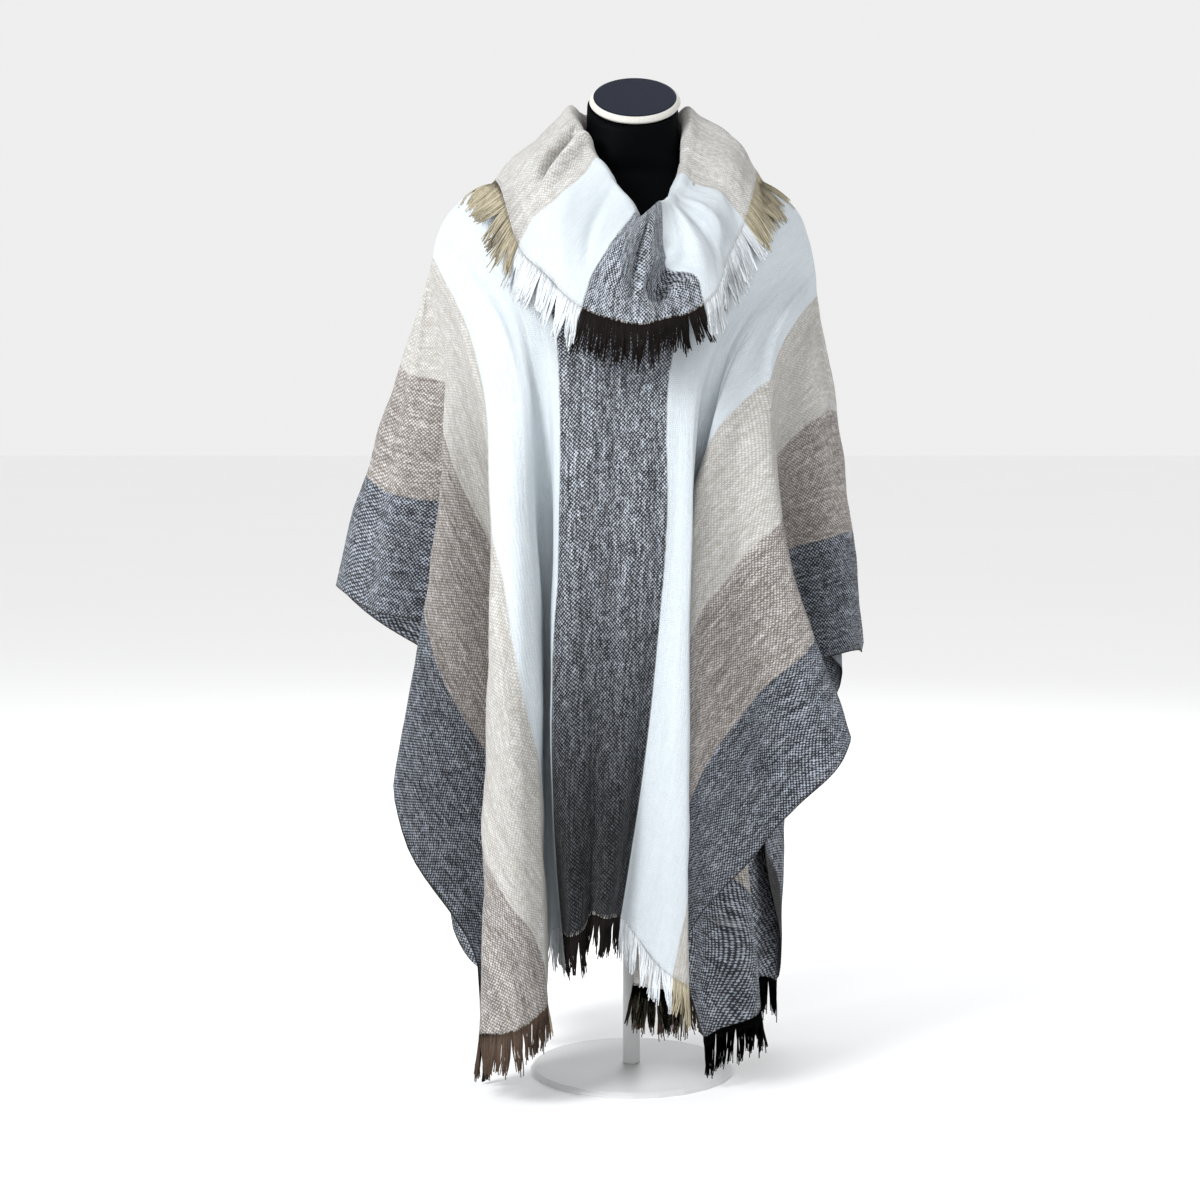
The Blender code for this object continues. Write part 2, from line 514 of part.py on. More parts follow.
def collar_sections(surface):
    """Knots of each section of the collar from seam to edge, and the cloth's normals along the seam."""
    table = np.array(COLLAR_SECTIONS)
    wrapped = np.vstack([table[-2], table, table[1]])
    wrapped[0, 0] -= 2 * COLLAR_HALF
    wrapped[-1, 0] += 2 * COLLAR_HALF
    places, seam, inward, across = [], [], [], []
    for hand in (-1, 1):
        path, way, normals = slit_edge(surface, hand)
        length = np.concatenate([[0.0], np.cumsum(np.linalg.norm(np.diff(path, axis=0), axis=1))])
        split = np.arange(0, len(length) - 1 + 1e-6, 1 / SECTIONS_PER_ROW)
        at = np.interp(split, np.arange(len(length)), length)
        # The left half runs from the back to the throat and the right half on from there.
        at = at[:0:-1] if hand < 0 else at[:-1]
        places.append(hand * at * COLLAR_HALF / length[-1])
        seam.append(read_line(path, length, at))
        inward.append(unit(read_line(way, length, at)))
        across.append(read_line(normals, length, at))
    places, seam, inward, across = (np.concatenate(part) for part in (places, seam, inward, across))
    read = np.stack([catmull(wrapped[:, 0], wrapped[:, k], places) for k in range(1, 8)], axis=1)
    top, edge, bulge = read[:, :3], read[:, 3:6], read[:, 6:7]
    up = np.array([0.0, 0.0, 1.0])
    out = edge - top
    out[:, 2] = 0.0
    out = unit(out)
    foot = seam + inward * SEAM_GAP
    turn = seam + inward * COLLAR_TURN + up * COLLAR_TURN * 0.4
    roll_in = top - out * COLLAR_ROLL - up * COLLAR_ROLL * 0.9
    roll_out = top + out * COLLAR_ROLL - up * COLLAR_ROLL * 0.9
    fall = edge - roll_out
    swell = unit(np.cross(np.cross(fall, up), fall))
    belly = (roll_out + edge) / 2 + swell * bulge
    return np.stack([foot, turn, roll_in, top, roll_out, belly, edge], axis=1), across


def smooth_sections(knots, steps):
    """Points of each section: a smooth curve through its knots, with this many steps between them."""
    at = np.concatenate([k + np.arange(n) / n for k, n in enumerate(steps)] + [[len(steps)]])
    rows = []
    for section in knots:
        reach = np.concatenate([[0.0], np.cumsum(np.linalg.norm(np.diff(section, axis=0), axis=1))])
        places = np.interp(at, np.arange(len(section)), reach)
        rows.append(np.stack([catmull(reach, section[:, k], places) for k in range(3)], axis=-1))
    return np.array(rows)


def pushed_clear(points, tree, clearance, either_side=False):
    """Points moved out along the surface's normal until they stand this far clear of it."""
    flat = points.reshape(-1, 3).copy()
    for _ in range(2):
        for k, point in enumerate(flat):
            near, normal, _, _ = tree.find_nearest(point)
            gap = (Vector(point) - near).dot(normal)
            if either_side and gap < 0:
                gap, normal = -gap, -normal
            if (Vector(point) - near).length < clearance or gap < 0:
                flat[k] = np.array(Vector(point) + normal * (clearance - gap))
    return flat.reshape(points.shape)


def ring_faces(around, across):
    """Faces of a closed ring of sections: its outward side is the one that faces out at the edge."""
    i = np.arange(around * across).reshape(around, across)
    j = np.roll(i, -1, axis=0)
    return np.stack([i[:, :-1], i[:, 1:], j[:, 1:], j[:, :-1]], axis=-1).reshape(-1, 4)


def fringe(name, top, bottom, normals, closed, hang, settle):
    """Heading from top to bottom with tapering locks below. The normals are the edge's that it hangs from."""
    if closed:
        top, bottom, normals = (np.vstack([part, part[:1]]) for part in (top, bottom, normals))
    reach = np.concatenate([[0.0], np.cumsum(np.linalg.norm(np.diff(bottom, axis=0), axis=1))])
    count = int(reach[-1] / LOCK_PITCH)
    pitch = reach[-1] / count
    starts = np.arange(count) * pitch + (pitch - LOCK_WIDTH) / 2
    marks = np.stack([starts, starts + LOCK_WIDTH])
    nearest = np.abs(marks[..., None] - reach).argmin(axis=-1)
    marks = np.where(np.abs(reach[nearest] - marks) < SNAP, reach[nearest], marks)
    at = np.unique(np.concatenate([marks.ravel(), reach]))
    if closed:
        at = at[at < reach[-1] - 1e-6]
    head, foot = read_line(top, reach, at), read_line(bottom, reach, at)
    across = len(at)
    step = np.arange(across if closed else across - 1)
    after = (step + 1) % across
    points = [head, foot]
    faces = [np.stack([step, step + across, after + across, after], axis=1)]
    half = [np.full(2 * across, WALL / 2 * HEADING_WALL)]
    fall = unit(foot - head)
    kept = []
    for k, (low, high) in enumerate(marks.T):
        inside = np.flatnonzero((at >= low) & (at <= high))
        root = foot[inside]
        width = np.linalg.norm(root[-1] - root[0])
        middle = (root[0] + root[-1]) / 2
        crowded = any(np.linalg.norm(middle - other) < LAYER_SHARE * pitch for other in kept)
        if crowded or width < LOCK_WIDTH * CREASE_SHARE:
            continue
        kept.append(middle)
        swing = SWING * (math.sin(k * 2.4) + 0.6 * math.sin(k * 5.1))
        length = FRINGE_LENGTH * (1 + 0.10 * math.sin(k * 1.7) + 0.05 * math.sin(k * 4.3))
        way = fall[inside].mean(axis=0) + np.array([0.0, 0.0, -hang]) + swing * unit(root[-1] - root[0])
        tip = settle(root, middle + (root - middle) * LOCK_TIP + unit(way) * length)
        made = sum(len(part) for part in points)
        points.append(tip)
        half.append(np.full(len(tip), WALL / 2 * LOCK_TIP_WALL))
        row = made + np.arange(len(tip))
        faces.append(np.stack([inside[:-1] + across, row[:-1], row[1:], inside[1:] + across], axis=1))
    points, half, faces = (np.concatenate(part) for part in (points, half, faces))
    outward = vertex_normals(points, faces)
    edge_normals = read_line(normals, reach, at)
    if (outward[:across] * edge_normals).sum() < 0:
        faces, outward = faces[:, ::-1], -outward
    outward[:across] = edge_normals
    wall_mesh(name, points, outward, faces, half)


def below_edge(edge, fall):
    """Points one gap away from the edge, measured square to it, in the direction of the fall."""
    along_edge = unit(np.diff(edge, axis=0))
    before = np.linalg.norm(np.cross(fall[:-1], along_edge), axis=1)
    after = np.linalg.norm(np.cross(fall[1:], along_edge), axis=1)
    least = np.minimum(np.append(before, 1.0), np.append(1.0, after))
    return edge + fall * (HEADING_GAP / np.clip(least, 0.12, 1.0))[:, None]


def settled(root, tip, tree, clearance, either_side):
    """Tip of a lock, moved out until the whole lock stands clear of the cloth."""
    for share in (0.3, 0.5, 0.75, 1.0):
        place = root + (tip - root) * share
        place = np.vstack([place, (place[:1] + place[-1:]) / 2])
        push = pushed_clear(place, tree, clearance, either_side) - place
        tip = tip + push[np.linalg.norm(push, axis=1).argmax()] / share
    return tip


def lofted(name, rings):
    """Closed solid through rings of points, bottom to top, each anticlockwise seen from above."""
    rings = np.array(rings)
    levels, around = rings.shape[:2]
    i = np.arange(levels * around).reshape(levels, around)
    j = np.roll(i, -1, axis=1)
    sides = np.stack([i[:-1], j[:-1], j[1:], i[1:]], axis=-1).reshape(-1, 4).tolist()
    caps = [i[0, ::-1].tolist(), i[-1].tolist()]
    return mesh_object(name, rings.reshape(-1, 3).tolist(), sides + caps)


def form_rings():
    """Rings of the dress form, with a small round at the hip's lower edge; its neck ends on a slope."""
    turn = np.arange(FORM_SIDES) * 2 * math.pi / FORM_SIDES
    rings = []
    for z, half_width, front, back in FORM_SECTIONS:
        depth = np.where(np.sin(turn) < 0, front, back)
        x, y = half_width * np.cos(turn), depth * np.sin(turn)
        rings.append(np.stack([x, y, np.full_like(x, z)], axis=-1))
    slope = math.tan(NECK_SLOPE)
    lift = (rings[-1][:, 1]) * slope
    rings[-1][:, 2] += lift
    rings[-2][:, 2] += lift * 0.5
    return rings


def disc_rings(profile, centre, tilt=0.0):
    """Rings of a turned solid from its (radius, height) profile, tipped forward about its centre."""
    turn = np.arange(DISC_SIDES) * 2 * math.pi / DISC_SIDES
    rings = []
    for radius, height in profile:
        x, y = radius * np.cos(turn), radius * np.sin(turn)
        ahead = y * math.cos(tilt) - height * math.sin(tilt)
        above = y * math.sin(tilt) + height * math.cos(tilt)
        rings.append(np.stack([x + centre[0], ahead + centre[1], above + centre[2]], axis=-1))
    return rings


def clear_scene():
    for obj in list(bpy.data.objects):
        bpy.data.objects.remove(obj)


def build():
    clear_scene()
    surface = cloth_surface()
    points, normals, faces, index, _, hems = surface
    body_halves(surface)
    tree = BVHTree.FromPolygons(points.tolist(), np.concatenate(faces).tolist())
    clear = WALL + COLLAR_CLEARANCE
    settle = partial(settled, tree=tree, clearance=clear, either_side=True)
    for half, name in enumerate(("fringe_front", "fringe_back")):
        edge = index[half, hems[half]][:, ::-1]
        fall = unit(points[edge[:, 0]] - points[edge[:, 1]])
        top = below_edge(points[edge[:, 0]], fall)
        bottom = top + fall * FRINGE_STRIP
        fringe(name, top, bottom, normals[edge[:, 0]], False, HANG, settle)

    form = lofted("form_torso", form_rings())
    form_tree = BVHTree.FromObject(form, bpy.context.evaluated_depsgraph_get())
    knots, seam_normals = collar_sections(surface)
    grid = smooth_sections(knots, COLLAR_STEPS)
    around, across = grid.shape[:2]
    cells = ring_faces(around, across)
    lying = sum(COLLAR_STEPS[:4]) + 1
    grid[:, lying:] = pushed_clear(grid[:, lying:], tree, clear)
    grid[:, 2:] = pushed_clear(grid[:, 2:], form_tree, WALL / 2 + COLLAR_CLEARANCE)
    place = grid.reshape(-1, 3)
    outward = vertex_normals(place, cells)
    turned = outward[::across]
    sense = np.sign((turned * seam_normals).sum())
    outward[::across] = seam_normals * sense
    wall_mesh("collar", place, outward, cells)

    fall = unit(grid[:, -1] - grid[:, -2])
    top = grid[:, -1] + fall * HEADING_GAP
    bottom = pushed_clear(top + fall * FRINGE_STRIP, tree, clear)
    settle = partial(settled, tree=tree, clearance=clear, either_side=False)
    fringe("fringe_collar", top, bottom, outward[across - 1 :: across], True, 0.0, settle)

    lofted("neck_cap", disc_rings(CAP_PROFILE, CAP_CENTRE, NECK_SLOPE))
    lofted("stand_pole", disc_rings(POLE_PROFILE, (0.0, 0.0, 0.0)))
    lofted("stand_base", disc_rings(BASE_PROFILE, (0.0, 0.0, 0.0)))


build()
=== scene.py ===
"""Looks of the Andean poncho: woven striped cloth, fringed collar, dress form and stand.

Metres, +Z up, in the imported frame. The garment's front faces -Y. The cloth is drawn again from the
same creases as the solids, with finer lines between them, and every point keeps its place on the
flat cloth, so that stripes, weave and fringe run with the yarns.
"""

import math

import bpy
import numpy as np
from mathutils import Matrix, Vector
from mathutils.bvhtree import BVHTree


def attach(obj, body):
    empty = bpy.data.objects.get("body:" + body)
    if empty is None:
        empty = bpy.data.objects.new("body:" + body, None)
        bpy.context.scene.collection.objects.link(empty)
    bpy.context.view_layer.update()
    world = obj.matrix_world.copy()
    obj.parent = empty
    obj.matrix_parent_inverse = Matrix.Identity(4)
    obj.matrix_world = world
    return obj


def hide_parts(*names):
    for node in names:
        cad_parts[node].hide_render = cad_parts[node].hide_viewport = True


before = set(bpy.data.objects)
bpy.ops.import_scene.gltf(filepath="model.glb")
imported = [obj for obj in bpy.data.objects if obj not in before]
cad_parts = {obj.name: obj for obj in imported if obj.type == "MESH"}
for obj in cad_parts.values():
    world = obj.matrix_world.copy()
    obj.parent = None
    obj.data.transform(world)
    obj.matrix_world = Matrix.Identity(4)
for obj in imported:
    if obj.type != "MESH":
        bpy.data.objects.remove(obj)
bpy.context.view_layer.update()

# ---- driving sizes
STRIPE = 0.152  # width of each warp stripe
HALF_WIDTH = 4.5 * STRIPE  # middle of the cloth to its selvedge
FRONT_LENGTH = 0.935  # shoulder line to the front hem, along a selvedge
BACK_LENGTH = 0.880  # and to the back hem
FRONT_SHIFT = 0.07  # the cloth is drawn this far to the front at the neck
WALL = 0.0020  # thickness of the solids' cloth
SEAM_GAP = 0.0004  # between pieces that are sewn together or run on from each other
FORM_CLEARANCE = 0.0008  # between the form and the cloth that lies on it

LINE_PLACES = (0.0, 0.2, 0.8)  # grid lines from one crease to the next, close in to round each crease
CREASE_ROUND = 0.060  # how strongly a crease is rounded: a larger value gives a wider fold
CREASE_SHARE = 0.9  # at most this share of the shorter leg beside it
ROWS = 15  # grid rows from the shoulder line to the edge
ROW_EASE = 1.2  # rows lie closer together near the shoulder
FOLD_POINTS = 160  # points along a line down the cloth, before it is cut into rows
MARK_BELOW = 0.03  # the first of the heights that counts lies this far under the shoulder
TAIL = 0.9  # a line runs on past its last height by this share of its last leg
FORWARD_SPAN = (0.10, 0.19)  # up to here from the slit the cloth goes forward over the shoulder
FORWARD_WAY = (1.15, -0.30)  # outwards and down, before it falls
DRAWN_SPAN = 0.2  # up to here from the slit the cloth is drawn to the front
BEARS_ABOVE = 0.86  # the cloth is kept clear of the form above this height
APART = 0.0046  # layers of a fold keep this far apart, middle to middle
APART_BELOW = 0.98  # height under which the folds are deep enough to need it
APART_ROUNDS = 14
SLIT_ROWS_FRONT = 5  # rows along which the neck slit is open, in front
SLIT_ROWS_BACK = 3  # and behind

HEM_SAG = 0.065  # the loose weave hangs this much longer in the deep folds of the front hem,
HEM_SAG_SPAN = (0.25, 0.42)  # and all of that between these distances from the middle
HEM_REACH = 0.004  # a line that ends this near the hem's corner belongs to the hem

# ---- shoulder line
# Where the cloth lies over each shoulder, from the neck slit outwards. Columns: x, z.
LEFT_SHOULDER = (
    (-0.078, 1.166),
    (-0.115, 1.149),
    (-0.150, 1.137),
    (-0.185, 1.127),
    (-0.213, 1.111),
    (-0.235, 1.088),
    (-0.244, 1.066),
    (-0.250, 1.038),
    (-0.262, 0.985),
)
RIGHT_SHOULDER = (
    (0.103, 1.154),
    (0.150, 1.137),
    (0.185, 1.118),
    (0.208, 1.094),
    (0.221, 1.062),
    (0.228, 1.030),
    (0.233, 0.990),
    (0.240, 0.930),
)

# ---- creases
# start: where the crease leaves the shoulder line, measured from the slit along the cloth.
# x, y, turn: its place at a height, and how far it has turned from the warp towards the selvedge.
# Columns: start, then x, y and turn at each of the four heights.
HEIGHTS = (0.93, 0.70, 0.45, 0.18)
FRONT_LEFT = (
    (0.000, -0.021, -0.140, 0, -0.026, -0.150, 0, -0.041, -0.152, 0, -0.058, -0.130, 0),
    (0.038, -0.057, -0.143, 0, -0.059, -0.158, 0, -0.071, -0.160, 0, -0.072, -0.150, 0),
    (0.076, -0.093, -0.140, 0, -0.092, -0.152, 0, -0.100, -0.150, 0, -0.085, -0.114, 0),
    (0.125, -0.120, -0.130, 0, -0.104, -0.108, 0, -0.098, -0.076, 0, -0.104, -0.052, 1),
    (0.200, -0.150, -0.124, 0, -0.126, -0.158, 0, -0.117, -0.158, 2, -0.109, -0.160, 11),
    (0.204, -0.170, -0.116, 0, -0.146, -0.168, 1, -0.148, -0.186, 4, -0.142, -0.188, 14),
    (0.208, -0.188, -0.104, 2, -0.174, -0.142, 3, -0.179, -0.142, 9, -0.186, -0.138, 17),
    (0.220, -0.205, -0.080, 10, -0.158, -0.064, 16, -0.130, -0.040, 19, -0.168, -0.055, 26.4),
    (0.236, -0.232, -0.058, 36, -0.243, -0.088, 41, -0.285, -0.100, 42, -0.330, -0.110, 42),
    (0.252, -0.236, -0.026, 58, -0.180, -0.018, 63, -0.180, -0.010, 65, -0.190, -0.010, 66),
)
FRONT_RIGHT = (
    (0.000, -0.021, -0.140, 0, -0.026, -0.150, 0, -0.041, -0.152, 0, -0.058, -0.130, 0),
    (0.038, 0.015, -0.143, 0, 0.008, -0.158, 0, -0.010, -0.162, 0, -0.041, -0.150, 0),
    (0.076, 0.050, -0.140, 0, 0.040, -0.148, 0, 0.017, -0.146, 0, -0.022, -0.112, 0),
    (0.120, 0.088, -0.140, 0, 0.070, -0.158, 0, 0.065, -0.174, 1, 0.066, -0.178, 9),
    (0.160, 0.104, -0.122, 0, 0.058, -0.104, 3, 0.036, -0.058, 8, 0.006, -0.070, 13),
    (0.172, 0.116, -0.118, 0, 0.104, -0.092, 8, 0.126, -0.050, 16, 0.155, -0.045, 25),
    (0.182, 0.126, -0.119, 0, 0.080, -0.108, 11, 0.092, -0.092, 20, 0.090, -0.094, 28.2),
    (0.188, 0.136, -0.118, 0, 0.070, -0.137, 14, 0.066, -0.142, 24, 0.063, -0.138, 33),
    (0.194, 0.152, -0.108, 1, 0.126, -0.122, 23, 0.165, -0.086, 37, 0.200, -0.078, 42),
    (0.200, 0.172, -0.106, 2, 0.182, -0.126, 31, 0.268, -0.112, 48, 0.360, -0.105, 50),
    (0.215, 0.205, -0.070, 26, 0.172, -0.042, 52, 0.190, -0.028, 66, 0.210, -0.024, 70),
    (0.240, 0.234, -0.040, 66, 0.262, -0.044, 74, 0.280, -0.040, 82, 0.290, -0.040, 84),
)
BACK_LEFT = (
    (0.000, -0.010, 0.130, 0, -0.012, 0.142, 0, -0.012, 0.150, 0, -0.012, 0.150, 0),
    (0.038, -0.046, 0.134, 0, -0.048, 0.156, 0, -0.047, 0.176, 0, -0.045, 0.185, 0),
    (0.076, -0.084, 0.126, 0, -0.080, 0.130, 0, -0.072, 0.124, 0, -0.066, 0.116, 1),
    (0.125, -0.124, 0.122, 0, -0.112, 0.148, 1, -0.104, 0.174, 3, -0.102, 0.184, 5),
    (0.200, -0.168, 0.108, 0, -0.128, 0.102, 5, -0.104, 0.070, 9, -0.098, 0.058, 12),
    (0.204, -0.186, 0.104, 3, -0.160, 0.132, 11, -0.152, 0.160, 16, -0.150, 0.168, 19),
    (0.208, -0.202, 0.092, 8, -0.176, 0.084, 19, -0.138, 0.050, 23, -0.132, 0.042, 25),
    (0.220, -0.222, 0.080, 20, -0.220, 0.112, 30, -0.232, 0.136, 30, -0.238, 0.142, 30),
    (0.236, -0.238, 0.060, 40, -0.212, 0.046, 50, -0.190, 0.030, 52, -0.185, 0.030, 52),
    (0.252, -0.285, 0.060, 66, -0.366, 0.130, 72, -0.420, 0.160, 72, -0.450, 0.170, 72),
)
BACK_RIGHT = (
    (0.000, -0.010, 0.130, 0, -0.012, 0.142, 0, -0.012, 0.150, 0, -0.012, 0.150, 0),
    (0.038, 0.026, 0.132, 0, 0.022, 0.138, 0, 0.018, 0.134, 0, 0.016, 0.126, 0),
    (0.076, 0.064, 0.130, 0, 0.056, 0.152, 0, 0.046, 0.176, 0, 0.044, 0.186, 0),
    (0.120, 0.104, 0.122, 0, 0.086, 0.118, 1, 0.068, 0.098, 2, 0.062, 0.090, 4),
    (0.160, 0.140, 0.118, 1, 0.124, 0.144, 4, 0.112, 0.168, 8, 0.110, 0.176, 11),
    (0.172, 0.154, 0.110, 3, 0.130, 0.096, 10, 0.106, 0.066, 15, 0.100, 0.056, 17),
    (0.182, 0.166, 0.106, 6, 0.160, 0.128, 16, 0.150, 0.154, 20, 0.148, 0.162, 22),
    (0.188, 0.178, 0.098, 10, 0.164, 0.082, 21, 0.140, 0.052, 25, 0.136, 0.046, 25.5),
    (0.194, 0.192, 0.092, 17, 0.204, 0.114, 31, 0.206, 0.138, 30, 0.200, 0.144, 27.6),
    (0.200, 0.206, 0.078, 27, 0.194, 0.062, 42, 0.178, 0.044, 42, 0.174, 0.038, 42),
    (0.215, 0.224, 0.062, 46, 0.258, 0.090, 58, 0.278, 0.112, 58, 0.286, 0.118, 58),
    (0.240, 0.238, 0.030, 70, 0.252, 0.040, 76, 0.262, 0.050, 78, 0.268, 0.054, 78),
)
# The crease along the shoulder line itself, where front and back meet.
# Columns: start, then x and y at each of the four heights.
LEFT_SIDE = (0.268, -0.270, 0.000, -0.306, 0.002, -0.340, 0.006, -0.375, 0.008)
RIGHT_SIDE = (0.265, 0.244, 0.004, 0.280, 0.026, 0.306, 0.052, 0.330, 0.070)

# ---- collar
# A strip sewn round the neck slit, standing up and folded over outwards. c: place along the strip from
# the middle of the throat, minus to the left. top: the fold at the top. edge: the fringed lower edge.
# bulge: how far the outer layer stands out between them.
# Columns: c, then x, y and z of the top, x, y and z of the edge, bulge.
COLLAR_HALF = 0.58  # half of the strip's length
SECTIONS_PER_ROW = 3  # for each grid row of the cloth along the neck slit
COLLAR_STEPS = (1, 2, 2, 2, 3, 3)  # steps from each knot of a section to the next
COLLAR_TURN = 0.006  # from the seam to where the strip turns up
COLLAR_TURN_RISE = 0.4  # and how steeply
COLLAR_ROLL = 0.009  # radius of the fold at the top
COLLAR_ROLL_DROP = 0.9  # how far under the fold's top its sides start, in radii
COLLAR_UPPER = 4  # knots of a section before the one where its outer layer starts
COLLAR_CLEARANCE = 0.0036  # from the cloth and the form under it
COLLAR_SECTIONS = (
    (-0.580, 0.000, 0.074, 1.213, 0.000, 0.122, 1.105, 0.006),
    (-0.480, -0.052, 0.060, 1.222, -0.105, 0.098, 1.118, 0.010),
    (-0.380, -0.078, 0.016, 1.228, -0.172, 0.030, 1.138, 0.010),
    (-0.304, -0.072, -0.034, 1.205, -0.160, -0.040, 1.112, 0.012),
    (-0.228, -0.047, -0.074, 1.160, -0.138, -0.100, 1.047, 0.014),
    (-0.152, -0.024, -0.108, 1.125, -0.100, -0.150, 1.008, 0.014),
    (-0.076, 0.000, -0.136, 1.090, -0.062, -0.188, 0.972, 0.012),
    (-0.030, 0.008, -0.146, 1.081, -0.022, -0.200, 0.957, 0.014),
    (0.000, 0.019, -0.142, 1.088, 0.007, -0.202, 0.952, 0.004),
    (0.030, 0.030, -0.131, 1.096, 0.036, -0.194, 0.956, -0.012),
    (0.076, 0.038, -0.114, 1.101, 0.084, -0.172, 0.978, 0.010),
    (0.152, 0.048, -0.092, 1.112, 0.110, -0.130, 1.030, 0.014),
    (0.228, 0.061, -0.060, 1.138, 0.134, -0.086, 1.078, 0.014),
    (0.304, 0.070, -0.022, 1.190, 0.150, -0.034, 1.128, 0.012),
    (0.380, 0.072, 0.020, 1.226, 0.156, 0.030, 1.148, 0.010),
    (0.480, 0.052, 0.060, 1.220, 0.102, 0.098, 1.122, 0.010),
    (0.580, 0.000, 0.074, 1.213, 0.000, 0.122, 1.105, 0.006),
)

# ---- dress form and stand
# Columns: z, half width, depth of the front and of the back.
FORM_SECTIONS = (
    (0.590, 0.098, 0.052, 0.058),
    (0.602, 0.124, 0.070, 0.076),
    (0.660, 0.136, 0.082, 0.088),
    (0.740, 0.130, 0.080, 0.080),
    (0.860, 0.150, 0.098, 0.088),
    (0.950, 0.178, 0.112, 0.100),
    (1.030, 0.196, 0.098, 0.096),
    (1.065, 0.197, 0.078, 0.080),
    (1.095, 0.191, 0.064, 0.068),
    (1.113, 0.184, 0.052, 0.056),
    (1.1315, 0.150, 0.040, 0.046),
    (1.141, 0.112, 0.038, 0.044),
    (1.158, 0.075, 0.043, 0.050),
    (1.185, 0.061, 0.046, 0.050),
    (1.227, 0.057, 0.048, 0.050),
)
NECK_SLOPE = math.radians(34)  # the neck ends on a plane that slopes down to the front
CAP_CENTRE = (0.003, -0.001, 1.239)

# ---- fine lines, soft waves and creases
LINE_STEPS = (3, 9, 3)  # fine lines between two grid lines, in the three gaps of a fold
ROW_STEPS = 9  # fine rows for each grid row
CLOTH_HALF = 0.0009  # half of the cloth's thickness
# The strip lies flat as a shallow arc: 1.16 along the fringe, 0.86 along the seam.
COLLAR_LINE_STEPS = 7  # fine lines for each section of the collar
COLLAR_ROW_STEPS = 4

NECK_CLEAR = (0.10, 0.26)  # waves and creases fade in over this way from the neck
SEAM_CLEAR = (0.0, 0.05)  # and over this way from the collar's seam
LAYER_GAP = 0.001  # between the collar's outer layer and the cloth under it
# Soft waves. Columns: depth, seed, how many, shortest, longest, and how much longer down the warp.
BODY_WAVES = ((0.0012, 5, 14, 0.05, 0.20, 2.6), (0.0003, 9, 12, 0.018, 0.05, 3.5))
COLLAR_WAVES = ((0.0020, 23, 12, 0.05, 0.16, 1.6), (0.0003, 29, 10, 0.018, 0.05, 3.0))
CREASE_BOW = 0.06  # how much a soft crease bends along its run
# Soft creases of the body's cloth, on the flat cloth. Columns: across and down of one end and of the
# other, half width, height (minus for a trough).
CREASES = (
    (-0.010, 0.20, 0.004, 0.90, 0.010, 0.0035),
    (0.045, 0.25, 0.038, 0.80, 0.012, -0.0030),
    (-0.050, 0.22, -0.046, 0.70, 0.011, -0.0025),
    (0.120, 0.10, 0.110, 0.75, 0.013, 0.0030),
    (-0.130, 0.08, -0.150, 0.70, 0.014, 0.0030),
    (-0.165, 0.10, -0.210, 0.80, 0.012, -0.0030),
    (0.190, 0.06, 0.260, 0.70, 0.012, -0.0030),
    (0.260, 0.10, 0.340, 0.80, 0.014, 0.0030),
    (-0.290, 0.10, -0.360, 0.85, 0.015, 0.0030),
    (0.010, -0.20, -0.010, -0.80, 0.012, 0.0032),
    (-0.060, -0.15, -0.070, -0.70, 0.012, -0.0028),
    (0.080, -0.12, 0.095, -0.75, 0.013, 0.0030),
    (0.170, -0.10, 0.220, -0.80, 0.013, -0.0030),
    (-0.180, -0.08, -0.240, -0.80, 0.014, 0.0030),
)
COLLAR_CREASES = (
    (0.004, 0.092, -0.010, 0.205, 0.0065, -0.0140),
    (0.004, 0.166, 0.044, 0.184, 0.0130, -0.0200),
    (0.012, 0.140, 0.066, 0.154, 0.0080, 0.0110),
    (-0.012, 0.204, 0.058, 0.208, 0.0090, 0.0070),
    (-0.045, 0.110, -0.040, 0.200, 0.0120, 0.0060),
    (-0.296, 0.066, -0.254, 0.160, 0.0075, -0.0260),
    (-0.272, 0.070, -0.228, 0.165, 0.0100, 0.0110),
    (-0.440, 0.140, -0.300, 0.145, 0.0300, -0.0090),
    (-0.205, 0.120, -0.115, 0.205, 0.0160, 0.0050),
    (-0.150, 0.090, -0.085, 0.180, 0.0100, -0.0060),
    (0.096, 0.095, 0.088, 0.205, 0.0110, 0.0050),
    (0.130, 0.100, 0.130, 0.205, 0.0120, -0.0040),
    (0.175, 0.100, 0.160, 0.205, 0.0120, 0.0055),
    (0.260, 0.110, 0.230, 0.205, 0.0140, -0.0050),
    (0.370, 0.100, 0.340, 0.205, 0.0140, 0.0045),
    (0.480, 0.100, 0.470, 0.205, 0.0140, -0.0040),
    (-0.520, 0.100, -0.500, 0.205, 0.0140, -0.0040),
)
# Cloth tucked away inside the folds at the throat and in the left pleat: the stripes beside it are drawn
# in. Columns: where along the strip, drawn in by, where the draw starts and ends along the strip, and
# where across the strip it comes in.
TUCKS = (
    (0.036, 0.042, 0.012, 0.150, -1.0, 0.0),
    (-0.034, -0.016, -0.110, -0.014, -1.0, 0.0),
    (-0.190, -0.022, -0.300, -0.110, 0.06, 0.12),
)
TUCK_FALL = (0.150, 0.192)  # across the strip, where the tucks run out towards the edge

